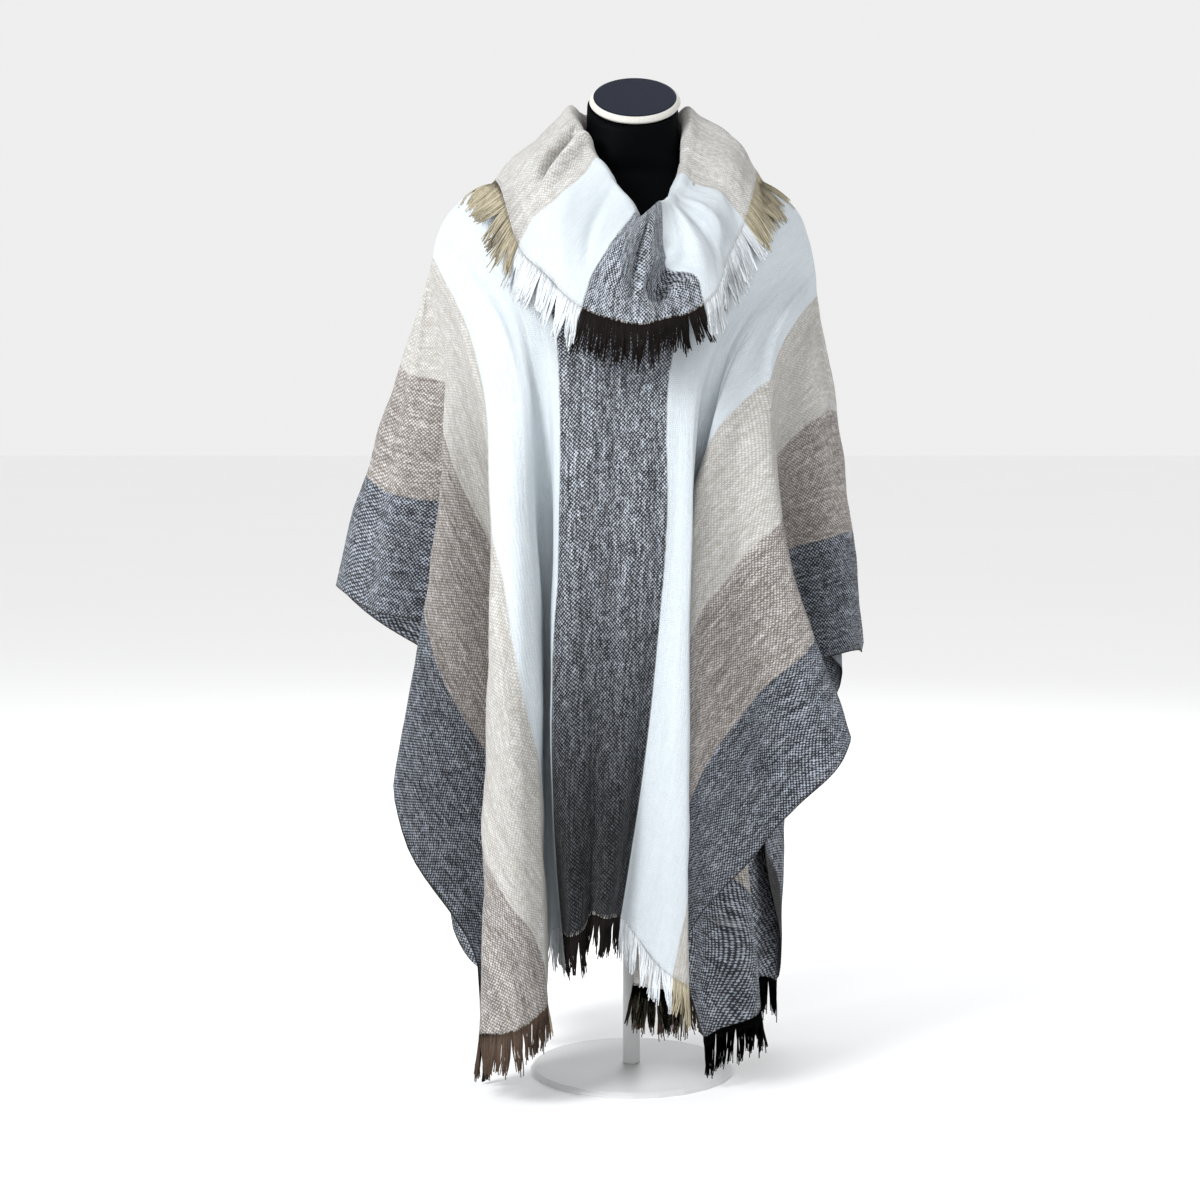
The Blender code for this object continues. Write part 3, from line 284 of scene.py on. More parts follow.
# ---- stripes and yarns
# Columns: name, from one yarn to the next, how far the warp covers the weft.
BODY_WEAVE = ("woven_cloth", 0.0024, 0.22)
COLLAR_WEAVE = ("collar_cloth", 0.0019, 0.04)
YARN_SWAY = 0.0009  # how far the yarns wander
BAND_SWAY = 0.0005  # and a stripe's edge
BAND_BLUR = 0.0012  # a stripe's edge is this soft
STRIPE_REACH = 0.70  # the last stripe's colour goes on up to here
WEAVE_SOFT = 0.25  # softness of the step from warp to weft
HAIR = (214, 214, 212)  # colour of the loose hairs
HAIR_SHARE = 0.40  # how much of the yarns they cover
HAIR_DRIFT = 0.012  # how far the wisps wander sideways
# The middle stripe is drawn darker towards the front hem: painted shade of the recess between the folds
# there, and partly its own darker tone.
HEM_SHADE_AND_TONE_EDGE = (0.0755, 0.0765)  # edge of the middle stripe, which darkens
HEM_SHADE_AND_TONE_SPAN = (0.36, 0.86)  # from here to here below the shoulder line,
HEM_SHADE_AND_TONE_DEPTH = 0.88  # by this much
# Unevenness of the cloth. Columns: lumps to the metre across and down, detail, roughness.
GRAINS = {
    "sway": (120.0, 90.0, 2.0, 0.5),
    "slub": (240.0, 26.0, 5.0, 0.75),
    "fleck": (250.0, 110.0, 2.0, 0.7),
    "broad": (75.0, 6.0, 3.0, 0.6),
    "weft_slub": (60.0, 520.0, 2.0, 0.6),
    "drift": (14.0, 9.0, 2.0, 0.5),
    "hair": (420.0, 26.0, 3.0, 0.6),
    "tuft": (16.0, 9.0, 2.0, 0.5),
    "nap": (1500.0, 1300.0, 2.0, 0.6),
}
# Columns: where the stripe ends, from the middle of the cloth, the colours of its warp, its weft and
# its fringe, and how strongly thick and thin yarns show.
STRIPES = (
    (0.076, (54, 55, 59), (168, 174, 183), (24, 19, 18), 1.00),
    (0.228, (203, 211, 217), (207, 214, 218), (212, 217, 221), 0.08),
    (0.380, (174, 169, 161), (198, 199, 199), (164, 155, 133), 0.30),
    (0.532, (124, 116, 110), (182, 179, 177), (78, 64, 54), 0.62),
    (0.6825, (48, 50, 55), (148, 154, 164), (25, 21, 20), 0.85),
    (0.700, (34, 32, 32), (60, 58, 58), (25, 21, 20), 0.20),
)
STRAND_PITCH = 0.0009  # from one fringe yarn to the next
STRAND_LENGTH = 0.050
LENGTH_SPREAD = (0.06, 0.09)  # unevenness of that from bunch to bunch and from yarn to yarn
STRAND_ROOT = 0.003  # how far inside the cloth's edge a yarn starts
STRAND_STEPS = 5
STRAND_RADIUS = 0.0012
STRAND_TAPER = 0.40  # a yarn is this much thinner at its tip
STRAND_TWIST = 2.0  # and turned by this angle
STRAND_WAVE = 0.0015
STRAND_CLEAR = 0.0025  # from the cloth
STRAND_LEAN = 0.16  # how far a bunch leans out of its line
STRAND_LOW = 0.003  # no yarn reaches under this height
HANG = 0.7  # how much a yarn hangs down rather than following the cloth
STRAND_SOFT = 0.6  # how far a yarn's shading follows the cloth it hangs from
HEM_PULL = (0.05, 0.50)  # how far the yarns of a bunch are drawn together at their tips
COLLAR_PULL = (0.0, 0.25)
COLLAR_HANG = 0.15
BUNCH = (0.009, 0.017)  # width of the bunches that the yarns gather in

# ---- form, cap and stand
TURN_SIDES = 64
FORM_STEPS = 4  # fine rings for each section
FORM_INSET = 0.0004
CAP_STEPS = 8  # fine rings from one place of the cap's profile to the next
# Columns: radius, height.
CAP_PROFILE = (
    (0.050, -0.0100),
    (0.055, -0.0095),
    (0.057, -0.0070),
    (0.0555, -0.0035),
    (0.053, -0.0012),
    (0.050, 0.0),
)
CAP_RIM = (0.0165, 0.0169)  # here along that profile the cap's pale rim ends
CAP_TONE = (17, 23, 37)
RIM_TONE = (196, 194, 188)
SPECK_TONE = (176, 172, 166)  # the last weft yarns, at the roots of the fringe
# Smooth finishes. Columns: name, colour, roughness, grains to the metre, their height, spread of tone,
# shine.
FORM_COVER = ("form_cover", (2, 3, 4), 0.60, 900.0, 0.0002, 0.15, 0.03)
STAND_PAINT = ("stand_paint", (205, 206, 206), 0.40, 400.0, 0.0001, 0.03, 0.5)
FLOOR_PAPER = ("studio_floor", (250, 250, 250), 0.9, 30.0, 0.0001, 0.01, 0.5)

# ---- light
FLOOR_HALF = 30.0
SURROUND = 0.76  # strength of the even white surround
EXPOSURE = 0.18
# Columns: name, place, what it aims at, size, power, colour.
LIGHTS = (
    ("key", (-2.5, -2.3, 2.5), (0.0, 0.0, 0.7), 1.4, 120.0, (0.97, 0.985, 1.0)),
    ("fill", (2.4, -2.0, 1.8), (0.0, 0.0, 0.6), 2.4, 10.0, (0.90, 0.95, 1.0)),
    ("back", (0.6, 2.6, 2.6), (0.0, 0.0, 0.8), 2.2, 30.0, (0.95, 0.97, 1.0)),
)

# ---- camera
CAMERA_TARGET = (-0.0406, 0.0, 0.609)
CAMERA_DISTANCE = 3.0
CAMERA_RISE = math.radians(5.0)
VIEW_WIDTH = 1.524  # metres across the picture at the target


# ---- curves, and the grid of the solids


def chord(points, extra=1e-9):
    """Distance along a polyline to each point. extra keeps points that meet apart."""
    return np.concatenate([[0.0], np.cumsum(np.linalg.norm(np.diff(points, axis=0), axis=1) + extra)])


def cubic(knots, values, slopes, at):
    """Smooth curve through the values (knot, channel) with these slopes, read at the places in at."""
    i = np.clip(np.searchsorted(knots, at, side="right") - 1, 0, len(knots) - 2)
    width = (knots[i + 1] - knots[i])[:, None]
    t = (at - knots[i])[:, None] / width
    return (
        (2 * t**3 - 3 * t**2 + 1) * values[i]
        + (t**3 - 2 * t**2 + t) * width * slopes[i]
        + (3 * t**2 - 2 * t**3) * values[i + 1]
        + (t**3 - t**2) * width * slopes[i + 1]
    )


def catmull(knots, values, at):
    """The same with slopes of its own."""
    return cubic(knots, values, np.gradient(values, knots, axis=0), at)


def refined(values, counts, reach=None):
    """Values (knot, channel) read along their smooth curve, with counts[k] steps from knot k to the next."""
    reach = chord(values[:, :3]) if reach is None else reach
    counts = [counts] * (len(values) - 1) if isinstance(counts, int) else counts
    at = np.concatenate([k + np.arange(n) / n for k, n in enumerate(counts)] + [[len(counts)]])
    return catmull(reach, values, np.interp(at, np.arange(len(reach)), reach))


def read_line(points, distance, at):
    return np.stack([np.interp(at, distance, points[:, k]) for k in range(points.shape[1])], axis=-1)


def unit(vectors):
    return vectors / np.maximum(np.linalg.norm(vectors, axis=-1, keepdims=True), 1e-12)


def smoothstep(low, high, x):
    t = np.clip((x - low) / (high - low), 0.0, 1.0)
    return t * t * (3 - 2 * t)


def form_depth(x, z, side):
    """Depth of the form's front (side -1) or back (side +1) surface at this x and height."""
    heights, half_widths, front, back = np.array(FORM_SECTIONS).T
    width = np.interp(z, heights, half_widths, right=0.0)
    depth = np.interp(z, heights, front if side < 0 else back, right=0.0)
    return depth * np.sqrt(np.clip(1 - (np.abs(x) / np.maximum(width, 1e-6)) ** 2.0, 0.0, 1.0))


def fold_line(row, shoulder, side):
    """Points of one fold line from the shoulder line down, with its distance and its turn at each."""
    start, places = row[0], np.reshape(row[1:], (4, 3))
    shoulder = np.array([(x, 0.0, z) for x, z in shoulder])
    top = catmull(chord(shoulder, 0.0), shoulder, np.array([start]))[0]
    heights = np.array(HEIGHTS)
    usable = heights < top[2] - MARK_BELOW
    marks, turns = np.column_stack([places[:, :2], heights])[usable], places[usable, 2]
    marks = np.vstack([top, marks, marks[-1] + (marks[-1] - marks[-2]) * TAIL])
    turns = np.concatenate([[turns[0]], turns, [turns[-1]]])
    reach = chord(marks, 0.0)
    slopes = np.gradient(marks, reach, axis=0)
    over = 1 - smoothstep(*FORWARD_SPAN, start)
    slopes[0] = over * np.array([0.0, side * FORWARD_WAY[0], FORWARD_WAY[1]]) + (1 - over) * slopes[0]
    fine = np.linspace(0, reach[-1], FOLD_POINTS)
    points = cubic(reach, marks, slopes, fine)
    clear = form_depth(points[:, 0], points[:, 2], side) + FORM_CLEARANCE + WALL
    held = (points[:, 2] > BEARS_ABOVE) & (side * points[:, 1] < clear) & (np.arange(len(fine)) > 0)
    points[held, 1] = side * clear[held]
    return points, chord(points, 0.0), np.interp(fine, reach, turns)


def hem_length(across, side):
    """From the shoulder line to the hem, this far from the middle of the cloth."""
    if side > 0:
        return BACK_LENGTH
    inner, outer = HEM_SAG_SPAN
    share = smoothstep(0.0, inner, across) * (1 - smoothstep(outer, HALF_WIDTH, across))
    return FRONT_LENGTH + HEM_SAG * share


def cloth_quarter(table, side_row, shoulder, side):
    """Points (line, row) of a quarter of the cloth, and their flat places: across and down."""
    edge = [side_row[0]]
    for k in range(1, len(side_row), 2):
        edge += [side_row[k], side_row[k + 1], 90.0]
    rows = np.array([*table, edge])
    knots = np.arange(len(rows))
    steps = np.append((knots[:-1, None] + np.array(LINE_PLACES)).ravel(), knots[-1])
    smooth = read_line(rows, knots, steps)
    for k in (1, 4, 7, 10):
        smooth[:, k : k + 2] = rounded_folds(rows[:, k : k + 2], steps)
    share = np.linspace(0, 1, ROWS + 1) ** ROW_EASE
    grid, flat = [], []
    for row in smooth:
        points, distance, turn = fold_line(row, shoulder, side)
        drawn = FRONT_SHIFT * (1 - smoothstep(0.0, DRAWN_SPAN, row[0])) * side
        across = row[0] + distance * np.sin(np.radians(turn))
        down = drawn + distance * np.cos(np.radians(turn))
        past = np.maximum(across - HALF_WIDTH, down - hem_length(across, side))
        at = share * np.interp(0.0, past, distance)
        grid.append(read_line(points, distance, at))
        flat.append(read_line(np.column_stack([across, down]), distance, at))
    return np.array(grid), np.array(flat)


def rounded_folds(places, steps):
    """Curve through the creases at one height: every crease is rounded evenly to both sides."""
    legs = np.diff(places, axis=0)
    ahead, behind = np.vstack([legs, legs[-1:]]), np.vstack([legs[:1], legs])
    shorter = np.minimum(np.linalg.norm(ahead, axis=1), np.linalg.norm(behind, axis=1))
    spread = np.linalg.norm(ahead + behind, axis=1) / 2
    size = np.maximum(spread, np.minimum(CREASE_ROUND, CREASE_SHARE * shorter))
    slopes = unit(unit(ahead) + unit(behind)) * size[:, None]
    return cubic(np.arange(len(places)), places, slopes, steps)


def cloth_side(side):
    """Both quarters of the front (side -1) or the back (side +1), from the left edge to the right."""
    left = cloth_quarter(FRONT_LEFT if side < 0 else BACK_LEFT, LEFT_SIDE, LEFT_SHOULDER, side)
    right = cloth_quarter(FRONT_RIGHT if side < 0 else BACK_RIGHT, RIGHT_SIDE, RIGHT_SHOULDER, side)
    slit = SLIT_ROWS_FRONT if side < 0 else SLIT_ROWS_BACK
    left[0][0, slit:] = right[0][0, slit:] = (left[0][0, slit:] + right[0][0, slit:]) / 2
    flat = np.concatenate([left[1][::-1] * (-1.0, -side), right[1] * (1.0, -side)])
    return np.concatenate([left[0][::-1], right[0]]), flat, len(left[0])


def cells(index):
    """The four corners of each cell of a grid of point numbers."""
    return np.stack([index[:-1, :-1], index[:-1, 1:], index[1:, 1:], index[1:, :-1]], axis=-1).reshape(-1, 4)


def half_arc(index, half):
    """The lines of an arc on the front (half 0) or the back (half 1)."""
    side = len(index) // 2
    return index[side:] if half else index[: side + 1]


def cloth_surface():
    """The solids' own grid: points, their index by half, column and row, the middle, flat places."""
    grids, flats, middles = zip(cloth_side(-1), cloth_side(1))
    middle = middles[0]
    columns, rows = grids[0].shape[:2]
    points = np.concatenate([grid.reshape(-1, 3) for grid in grids])
    index = np.arange(len(points)).reshape(2, columns, rows)
    index[1, :, 0] = index[0, :, 0]
    index[1, (0, -1), :] = index[0, (0, -1), :]
    for half, slit in enumerate((SLIT_ROWS_FRONT, SLIT_ROWS_BACK)):
        index[half, middle, slit:] = index[half, middle - 1, slit:]
    front, back = (np.concatenate([cells(half[:middle]), cells(half[middle:])]) for half in index)
    faces = np.concatenate([front, back[:, ::-1]])
    used = np.unique(faces)
    free = points[used, 2] < APART_BELOW
    points[used] = kept_apart(points[used], np.searchsorted(used, faces), free)
    return points, index, middle, np.array(flats)


def kept_apart(points, faces, free):
    """Moves the layers of a folded surface apart where they come too near and the points are free to move."""
    points = points.copy()
    beside = [set() for _ in points]
    for face, corners in enumerate(faces.tolist()):
        for corner in corners:
            beside[corner].add(face)
    near = [set().union(*(beside[c] for f in own for c in faces[f].tolist())) for own in beside]
    for _ in range(APART_ROUNDS):
        tree = BVHTree.FromPolygons(points.tolist(), faces.tolist())
        shift, count = np.zeros_like(points), np.zeros(len(points))
        for k in np.flatnonzero(free):
            for place, _, face, distance in tree.find_nearest_range(Vector(points[k]), APART):
                if face in near[k] or distance < 1e-7:
                    continue
                way = (points[k] - np.array(place)) / distance
                push = way * (APART - distance) * 0.5
                shift[k] += push
                count[k] += 1
                shift[faces[face]] -= push * 0.5
                count[faces[face]] += 0.5
        points += free[:, None] * shift / np.maximum(count, 1)[:, None]
    return points


def slit_edge(surface, hand):
    """Edge of the neck slit from its front end over the shoulder to its back end, and its way in."""
    points, index, middle, _ = surface
    edge, beside = (middle - 1, middle - 2) if hand < 0 else (middle, middle + 1)
    front, back = slice(SLIT_ROWS_FRONT, None, -1), slice(1, SLIT_ROWS_BACK + 1)
    on_edge, off_edge = (np.concatenate([index[0, k, front], index[1, k, back]]) for k in (edge, beside))
    path = points[on_edge]
    tangent = unit(np.gradient(path, axis=0))
    inward = path - points[off_edge]
    inward = unit(inward - (inward * tangent).sum(axis=1, keepdims=True) * tangent)
    for place, half, row in ((0, 0, SLIT_ROWS_FRONT), (-1, 1, SLIT_ROWS_BACK)):
        across = points[index[half, middle - 1, row - 1]] + points[index[half, middle, row - 1]]
        inward[place] = unit(across / 2 - points[index[half, middle, row]])
    return path, inward


def collar_sections(surface):
    """Knots of each section of the collar from seam to edge, and c."""
    table = np.array(COLLAR_SECTIONS)
    wrapped = np.vstack([table[-2], table, table[1]])
    wrapped[0, 0] -= 2 * COLLAR_HALF
    wrapped[-1, 0] += 2 * COLLAR_HALF
    places, seam, inward = [], [], []
    for hand in (-1, 1):
        path, way = slit_edge(surface, hand)
        length = chord(path, 0.0)
        split = np.arange(0, len(length) - 1 + 1e-6, 1 / SECTIONS_PER_ROW)
        at = np.interp(split, np.arange(len(length)), length)
        # The left half runs from the back to the throat and the right half on from there.
        at = at[:0:-1] if hand < 0 else at[:-1]
        places.append(hand * at * COLLAR_HALF / length[-1])
        seam.append(read_line(path, length, at))
        inward.append(unit(read_line(way, length, at)))
    places, seam, inward = (np.concatenate(part) for part in (places, seam, inward))
    read = catmull(wrapped[:, 0], wrapped[:, 1:], places)
    top, edge, bulge = read[:, :3], read[:, 3:6], read[:, 6:7]
    up = np.array([0.0, 0.0, 1.0])
    out = unit((edge - top) * (1.0, 1.0, 0.0))
    foot = seam + inward * SEAM_GAP
    turn = seam + inward * COLLAR_TURN + up * COLLAR_TURN * COLLAR_TURN_RISE
    roll_in = top - out * COLLAR_ROLL - up * COLLAR_ROLL * COLLAR_ROLL_DROP
    roll_out = top + out * COLLAR_ROLL - up * COLLAR_ROLL * COLLAR_ROLL_DROP
    fall = edge - roll_out
    swell = unit(np.cross(np.cross(fall, up), fall))
    belly = (roll_out + edge) / 2 + swell * bulge
    return np.stack([foot, turn, roll_in, top, roll_out, belly, edge], axis=1), places


def pushed_clear(points, tree, clearance, either_side=False):
    """Points moved out along the surface's normal until they stand this far clear of it."""
    flat = points.reshape(-1, 3).copy()
    for _ in range(2):
        for k, point in enumerate(flat):
            near, normal, _, _ = tree.find_nearest(point)
            gap = (Vector(point) - near).dot(normal)
            if either_side and gap < 0:
                gap, normal = -gap, -normal
            if (Vector(point) - near).length < clearance or gap < 0:
                flat[k] = np.array(Vector(point) + normal * (clearance - gap))
    return flat.reshape(points.shape)


# ---- the finer cloth


def fine_arcs(surface):
    """Grids (line, row, x y z across down) of the left and the right arc, each from the middle of the
    front round the side to the middle of the back."""
    points, index, middle, flats = surface
    both = np.concatenate([points[index], flats], axis=-1)
    over = [refined(np.vstack([both[1, k, ::-1], both[0, k, 1:]]), ROW_STEPS) for k in range(both.shape[1])]
    over = np.array(over)
    shoulder = ROWS * ROW_STEPS
    front, back = over[:, shoulder:], over[:, shoulder::-1]
    arcs = []
    for lines in (slice(middle - 1, None, -1), slice(middle, None)):
        out, home = front[lines], back[lines][::-1][1:]
        ring = np.concatenate([out, home])
        counts = list(LINE_STEPS) * (len(home) // len(LINE_STEPS) * 2)
        arcs.append(np.stack([refined(ring[:, row], counts) for row in range(ring.shape[1])], axis=1))
    return arcs


def even_yarns(values, index):
    """Spreads the middle stripe's yarns evenly over the width that the cloth has there."""
    stripe = STRIPES[0][0]
    part = values[index]
    steps = np.linalg.norm(np.diff(part[..., :2], axis=0, prepend=part[:1, :, :2]), axis=2)
    run = np.cumsum(steps, axis=0)
    for row in range(part.shape[1]):
        u = np.abs(part[: len(part) // 2, row, 3])
        near = np.flatnonzero(u < stripe)
        edge = np.interp(stripe, u, run[: len(u), row])
        hand = np.sign(part[len(u) // 2, row, 3])
        fall = (part[0, row, 2] - part[near, row, 2]) * (1 - smoothstep(0.0, stripe, u[near]))
        values[index[near, row], 3] = hand * stripe * run[near, row] / edge
        values[index[near, row], 4] = part[near, row, 4] + fall * (row > ROWS * ROW_STEPS // 3)


def joined_arcs(arcs):
    """One set of points for both arcs: places, flat places, each arc's index, each half's faces."""
    values = np.concatenate([arc.reshape(-1, 5) for arc in arcs])
    first, second = (np.arange(arc[..., 0].size).reshape(arc.shape[:2]) for arc in arcs)
    second += first.size
    for index in (first, second):
        index[:, 0] = np.minimum(index[:, 0], index[::-1, 0])
    for end, slit in ((0, SLIT_ROWS_FRONT), (-1, SLIT_ROWS_BACK)):
        rows = slice(slit * ROW_STEPS, None)
        values[first[end, rows]] = (values[first[end, rows]] + values[second[end, rows]]) / 2
        second[end, rows] = first[end, rows]
    for index in (first, second, first[::-1], second[::-1]):
        even_yarns(values, index)
    faces = []
    for half in (0, 1):
        left, right = (cells(half_arc(index, half)) for index in (first, second))
        faces.append(np.concatenate([left[:, ::-1], right]))
    return values[:, :3], values[:, 3:], (first, second), faces


def smooth_normals(points, faces):
    corners = points[faces]
    square = np.cross(corners[:, 2] - corners[:, 0], corners[:, 3] - corners[:, 1])
    normals = np.zeros_like(points)
    np.add.at(normals, faces, square[:, None, :].repeat(4, axis=1))
    return unit(normals)


def ripples(flat, seed, waves, shortest, longest, stretch):
    """Smooth uneven waves over the flat cloth, between -1 and 1 or so, stretched down the warp."""
    rng = np.random.default_rng(seed)
    lengths = rng.uniform(shortest, longest, waves)
    angles = rng.uniform(0, 2 * math.pi, waves)
    phases = rng.uniform(0, 2 * math.pi, waves)
    total = np.zeros(len(flat))
    for length, angle, phase in zip(lengths, angles, phases):
        u = flat[:, 0] * math.cos(angle) + flat[:, 1] * math.sin(angle) / stretch
        total += np.sin(2 * math.pi * u / length + phase)
    return total / math.sqrt(waves)


def tucked(flat):
    """Flat places on the collar with the cloth inside its tucks left out."""
    flat = flat.copy()
    reach = 1 - smoothstep(*TUCK_FALL, flat[:, 1])
    for peak, drawn, low, high, near, far in TUCKS:
        rise = smoothstep(low, peak, flat[:, 0]) * (1 - smoothstep(peak, high, flat[:, 0]))
        flat[:, 0] += drawn * rise * reach * smoothstep(near, far, flat[:, 1])
    return flat


def crease_relief(flat, creases):
    """Depth of the listed creases at each flat place: soft troughs (minus) and ridges (plus)."""
    total = np.zeros(len(flat))
    for u0, v0, u1, v1, width, height in creases:
        start, run = np.array([u0, v0]), np.array([u1 - u0, v1 - v0])
        length = np.linalg.norm(run)
        share = ((flat - start) @ run) / length**2
        square = np.array([-run[1], run[0]]) / length
        bow = CREASE_BOW * length * np.sin(math.pi * np.clip(share, 0, 1))
        off = (flat - start) @ square - bow
        fade = smoothstep(-0.05, 0.35, share) * (1 - smoothstep(0.65, 1.05, share))
        total += height * fade * np.exp(-((off / width) ** 2))
    return total


def relief(flat, waves, creases):
    """Depth of the soft waves and the creases together."""
    return sum(depth * ripples(flat, *row) for depth, *row in waves) + crease_relief(flat, creases)


def placed(name, data):
    """A new object in the scene."""
    made = bpy.data.objects.new(name, data)
    bpy.context.scene.collection.objects.link(made)
    return made


def wall_piece(name, points, normals, faces, flat, material):
    """Closed thin wall on both sides of a middle surface, shaded by the surface's own normals."""
    used, packed = np.unique(faces, return_inverse=True)
    faces = packed.reshape(-1, 4)
    points, normals, flat = points[used], normals[used], flat[used]
    sides = np.concatenate([faces[:, [k, (k + 1) % 4]] for k in range(4)])
    count = len(used)
    free = sides[~np.isin(sides[:, 0] * count + sides[:, 1], sides[:, 1] * count + sides[:, 0])]
    rims = np.stack([free[:, 1], free[:, 0], free[:, 0] + count, free[:, 1] + count], axis=1)
    every = np.concatenate([faces, faces[:, ::-1] + count, rims])
    place = np.concatenate([points + normals * CLOTH_HALF, points - normals * CLOTH_HALF])
    corners = np.concatenate([flat, flat]).astype(np.float32)[every]
    # A face between the two ends of the collar's strip keeps to one of them.
    ends = np.ptp(corners[..., 0], axis=1) > COLLAR_HALF
    corners[ends, :, 0] += np.where(corners[ends, :, 0] < 0, 2 * COLLAR_HALF, 0)
    piece = mesh_piece(name, place, every.tolist(), corners, material)
    piece.data.normals_split_custom_set_from_vertices(np.concatenate([normals, -normals]).tolist())
    return piece


def mesh_piece(name, points, faces, corners, material):
    """Object with the flat places of its faces' corners, if any, as the UV map named flat. Its four-sided
    faces are smooth."""
    mesh = bpy.data.meshes.new(name)
    mesh.from_pydata(points.reshape(-1, 3).tolist(), [], faces)
    mesh.polygons.foreach_set("use_smooth", [len(face) == 4 for face in faces])
    if corners is not None:
        mesh.uv_layers.new(name="flat").uv.foreach_set("vector", corners.astype(np.float32).ravel())
    mesh.materials.append(material)
    piece = placed(name, mesh)
    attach(piece, "root")
    return piece


# ---- shader nodes


class Wire:
    """A node's output, which adds and multiplies like a number."""

    def __init__(self, nodes, socket):
        self.nodes, self.socket = nodes, socket

    def __add__(self, other):
        return self.nodes.math("ADD", self, other)

    def __sub__(self, other):
        return self.nodes.math("SUBTRACT", self, other)

    def __rsub__(self, other):
        return self.nodes.math("SUBTRACT", other, self)

    def __mul__(self, other):
        return self.nodes.math("MULTIPLY", self, other)

    def __abs__(self):
        return self.nodes.math("ABSOLUTE", self)

    def sine(self):
        return self.nodes.math("SINE", self)


class Nodes:
    """Builds a material's nodes. Each call adds its nodes and returns the last one's output."""

    def __init__(self, name):
        self.material = bpy.data.materials.new(name)
        self.material.use_nodes = True
        self.tree = self.material.node_tree
        self.shader = self.tree.nodes["Principled BSDF"]

    def node(self, kind, settings=(), inputs=(), output=0):
        made = self.tree.nodes.new(kind)
        for key, value in dict(settings).items():
            setattr(made, key, value)
        for key, value in dict(inputs).items():
            self.put(made.inputs[key], value)
        return Wire(self, made.outputs[output])

    def put(self, socket, value):
        if isinstance(value, Wire):
            self.tree.links.new(value.socket, socket)
        else:
            socket.default_value = value

    def math(self, operation, *values):
        return self.node("ShaderNodeMath", {"operation": operation}, dict(enumerate(values)))

    def ramp(self, value, low, high, to_low=0.0, to_high=1.0):
        values = dict(enumerate((value, low, high, to_low, to_high)))
        return self.node("ShaderNodeMapRange", {"interpolation_type": "SMOOTHSTEP"}, values)

    def mix(self, share, low, high, blend="MIX"):
        settings = {"data_type": "RGBA", "blend_type": blend}
        return self.node("ShaderNodeMix", settings, {0: share, 6: low, 7: high}, output=2)

    def shade(self, tone, share):
        """The colour made lighter or darker by this share."""
        grey = self.node("ShaderNodeCombineColor", {}, {0: share, 1: share, 2: share})
        return self.mix(1.0, tone, grey, "MULTIPLY")

    def flat_place(self):
        """Across and down on the flat cloth, in metres."""
        parts = self.node("ShaderNodeSeparateXYZ", {}, {0: self.node("ShaderNodeUVMap", {"uv_map": "flat"})})
        return parts, Wire(self, parts.socket.node.outputs[1])

    def grain(self, u, v, across, down, detail, roughness):
        """Noise about 0, mostly within 1, with this many lumps to the metre across and down."""
        place = self.node("ShaderNodeCombineXYZ", {}, {0: u * across, 1: v * down})
        return (self.noise(place, 1.0, detail, roughness) - 0.5) * 4.0

    def noise(self, place, scale, detail, roughness):
        inputs = {"Vector": place, "Scale": scale, "Detail": detail, "Roughness": roughness}
        return self.node("ShaderNodeTexNoise", {}, inputs)

    def bands(self, place, tones):
        """Colour by the distance from the middle of the cloth: one tone for each of STRIPES."""
        ramp = self.tree.nodes.new("ShaderNodeValToRGB")
        self.put(ramp.inputs[0], self.math("DIVIDE", place, STRIPE_REACH))
        elements = ramp.color_ramp.elements
        elements[0].color, elements[-1].color = tones[0], tones[-1]
        elements[-1].position = 1.0
        ends = [row[0] for row in STRIPES]
        for k, tone in enumerate(tones):
            if k > 0:
                elements.new(ends[k - 1] / STRIPE_REACH).color = tone
            if k < len(tones) - 1:
                elements.new((ends[k] - BAND_BLUR) / STRIPE_REACH).color = tone
        return Wire(self, ramp.outputs[0])

    def finish(self, tone, roughness, bump, height, strength, **more):
        relief = self.node("ShaderNodeBump", {}, {"Height": bump, "Distance": height, "Strength": strength})
        inputs = {"Base Color": tone, "Roughness": roughness, "Normal": relief}
        inputs.update({key.replace("_", " "): value for key, value in more.items()})
        for key, value in inputs.items():
            self.put(self.shader.inputs[key], value)
        return self.material


def colour(red, green, blue):
    """A colour given as it shows on a screen, 0 to 255, as linear values, opaque."""
    shares = np.array([red, green, blue]) / 255
    return (*np.where(shares <= 0.04045, shares / 12.92, ((shares + 0.055) / 1.055) ** 2.4).tolist(), 1.0)


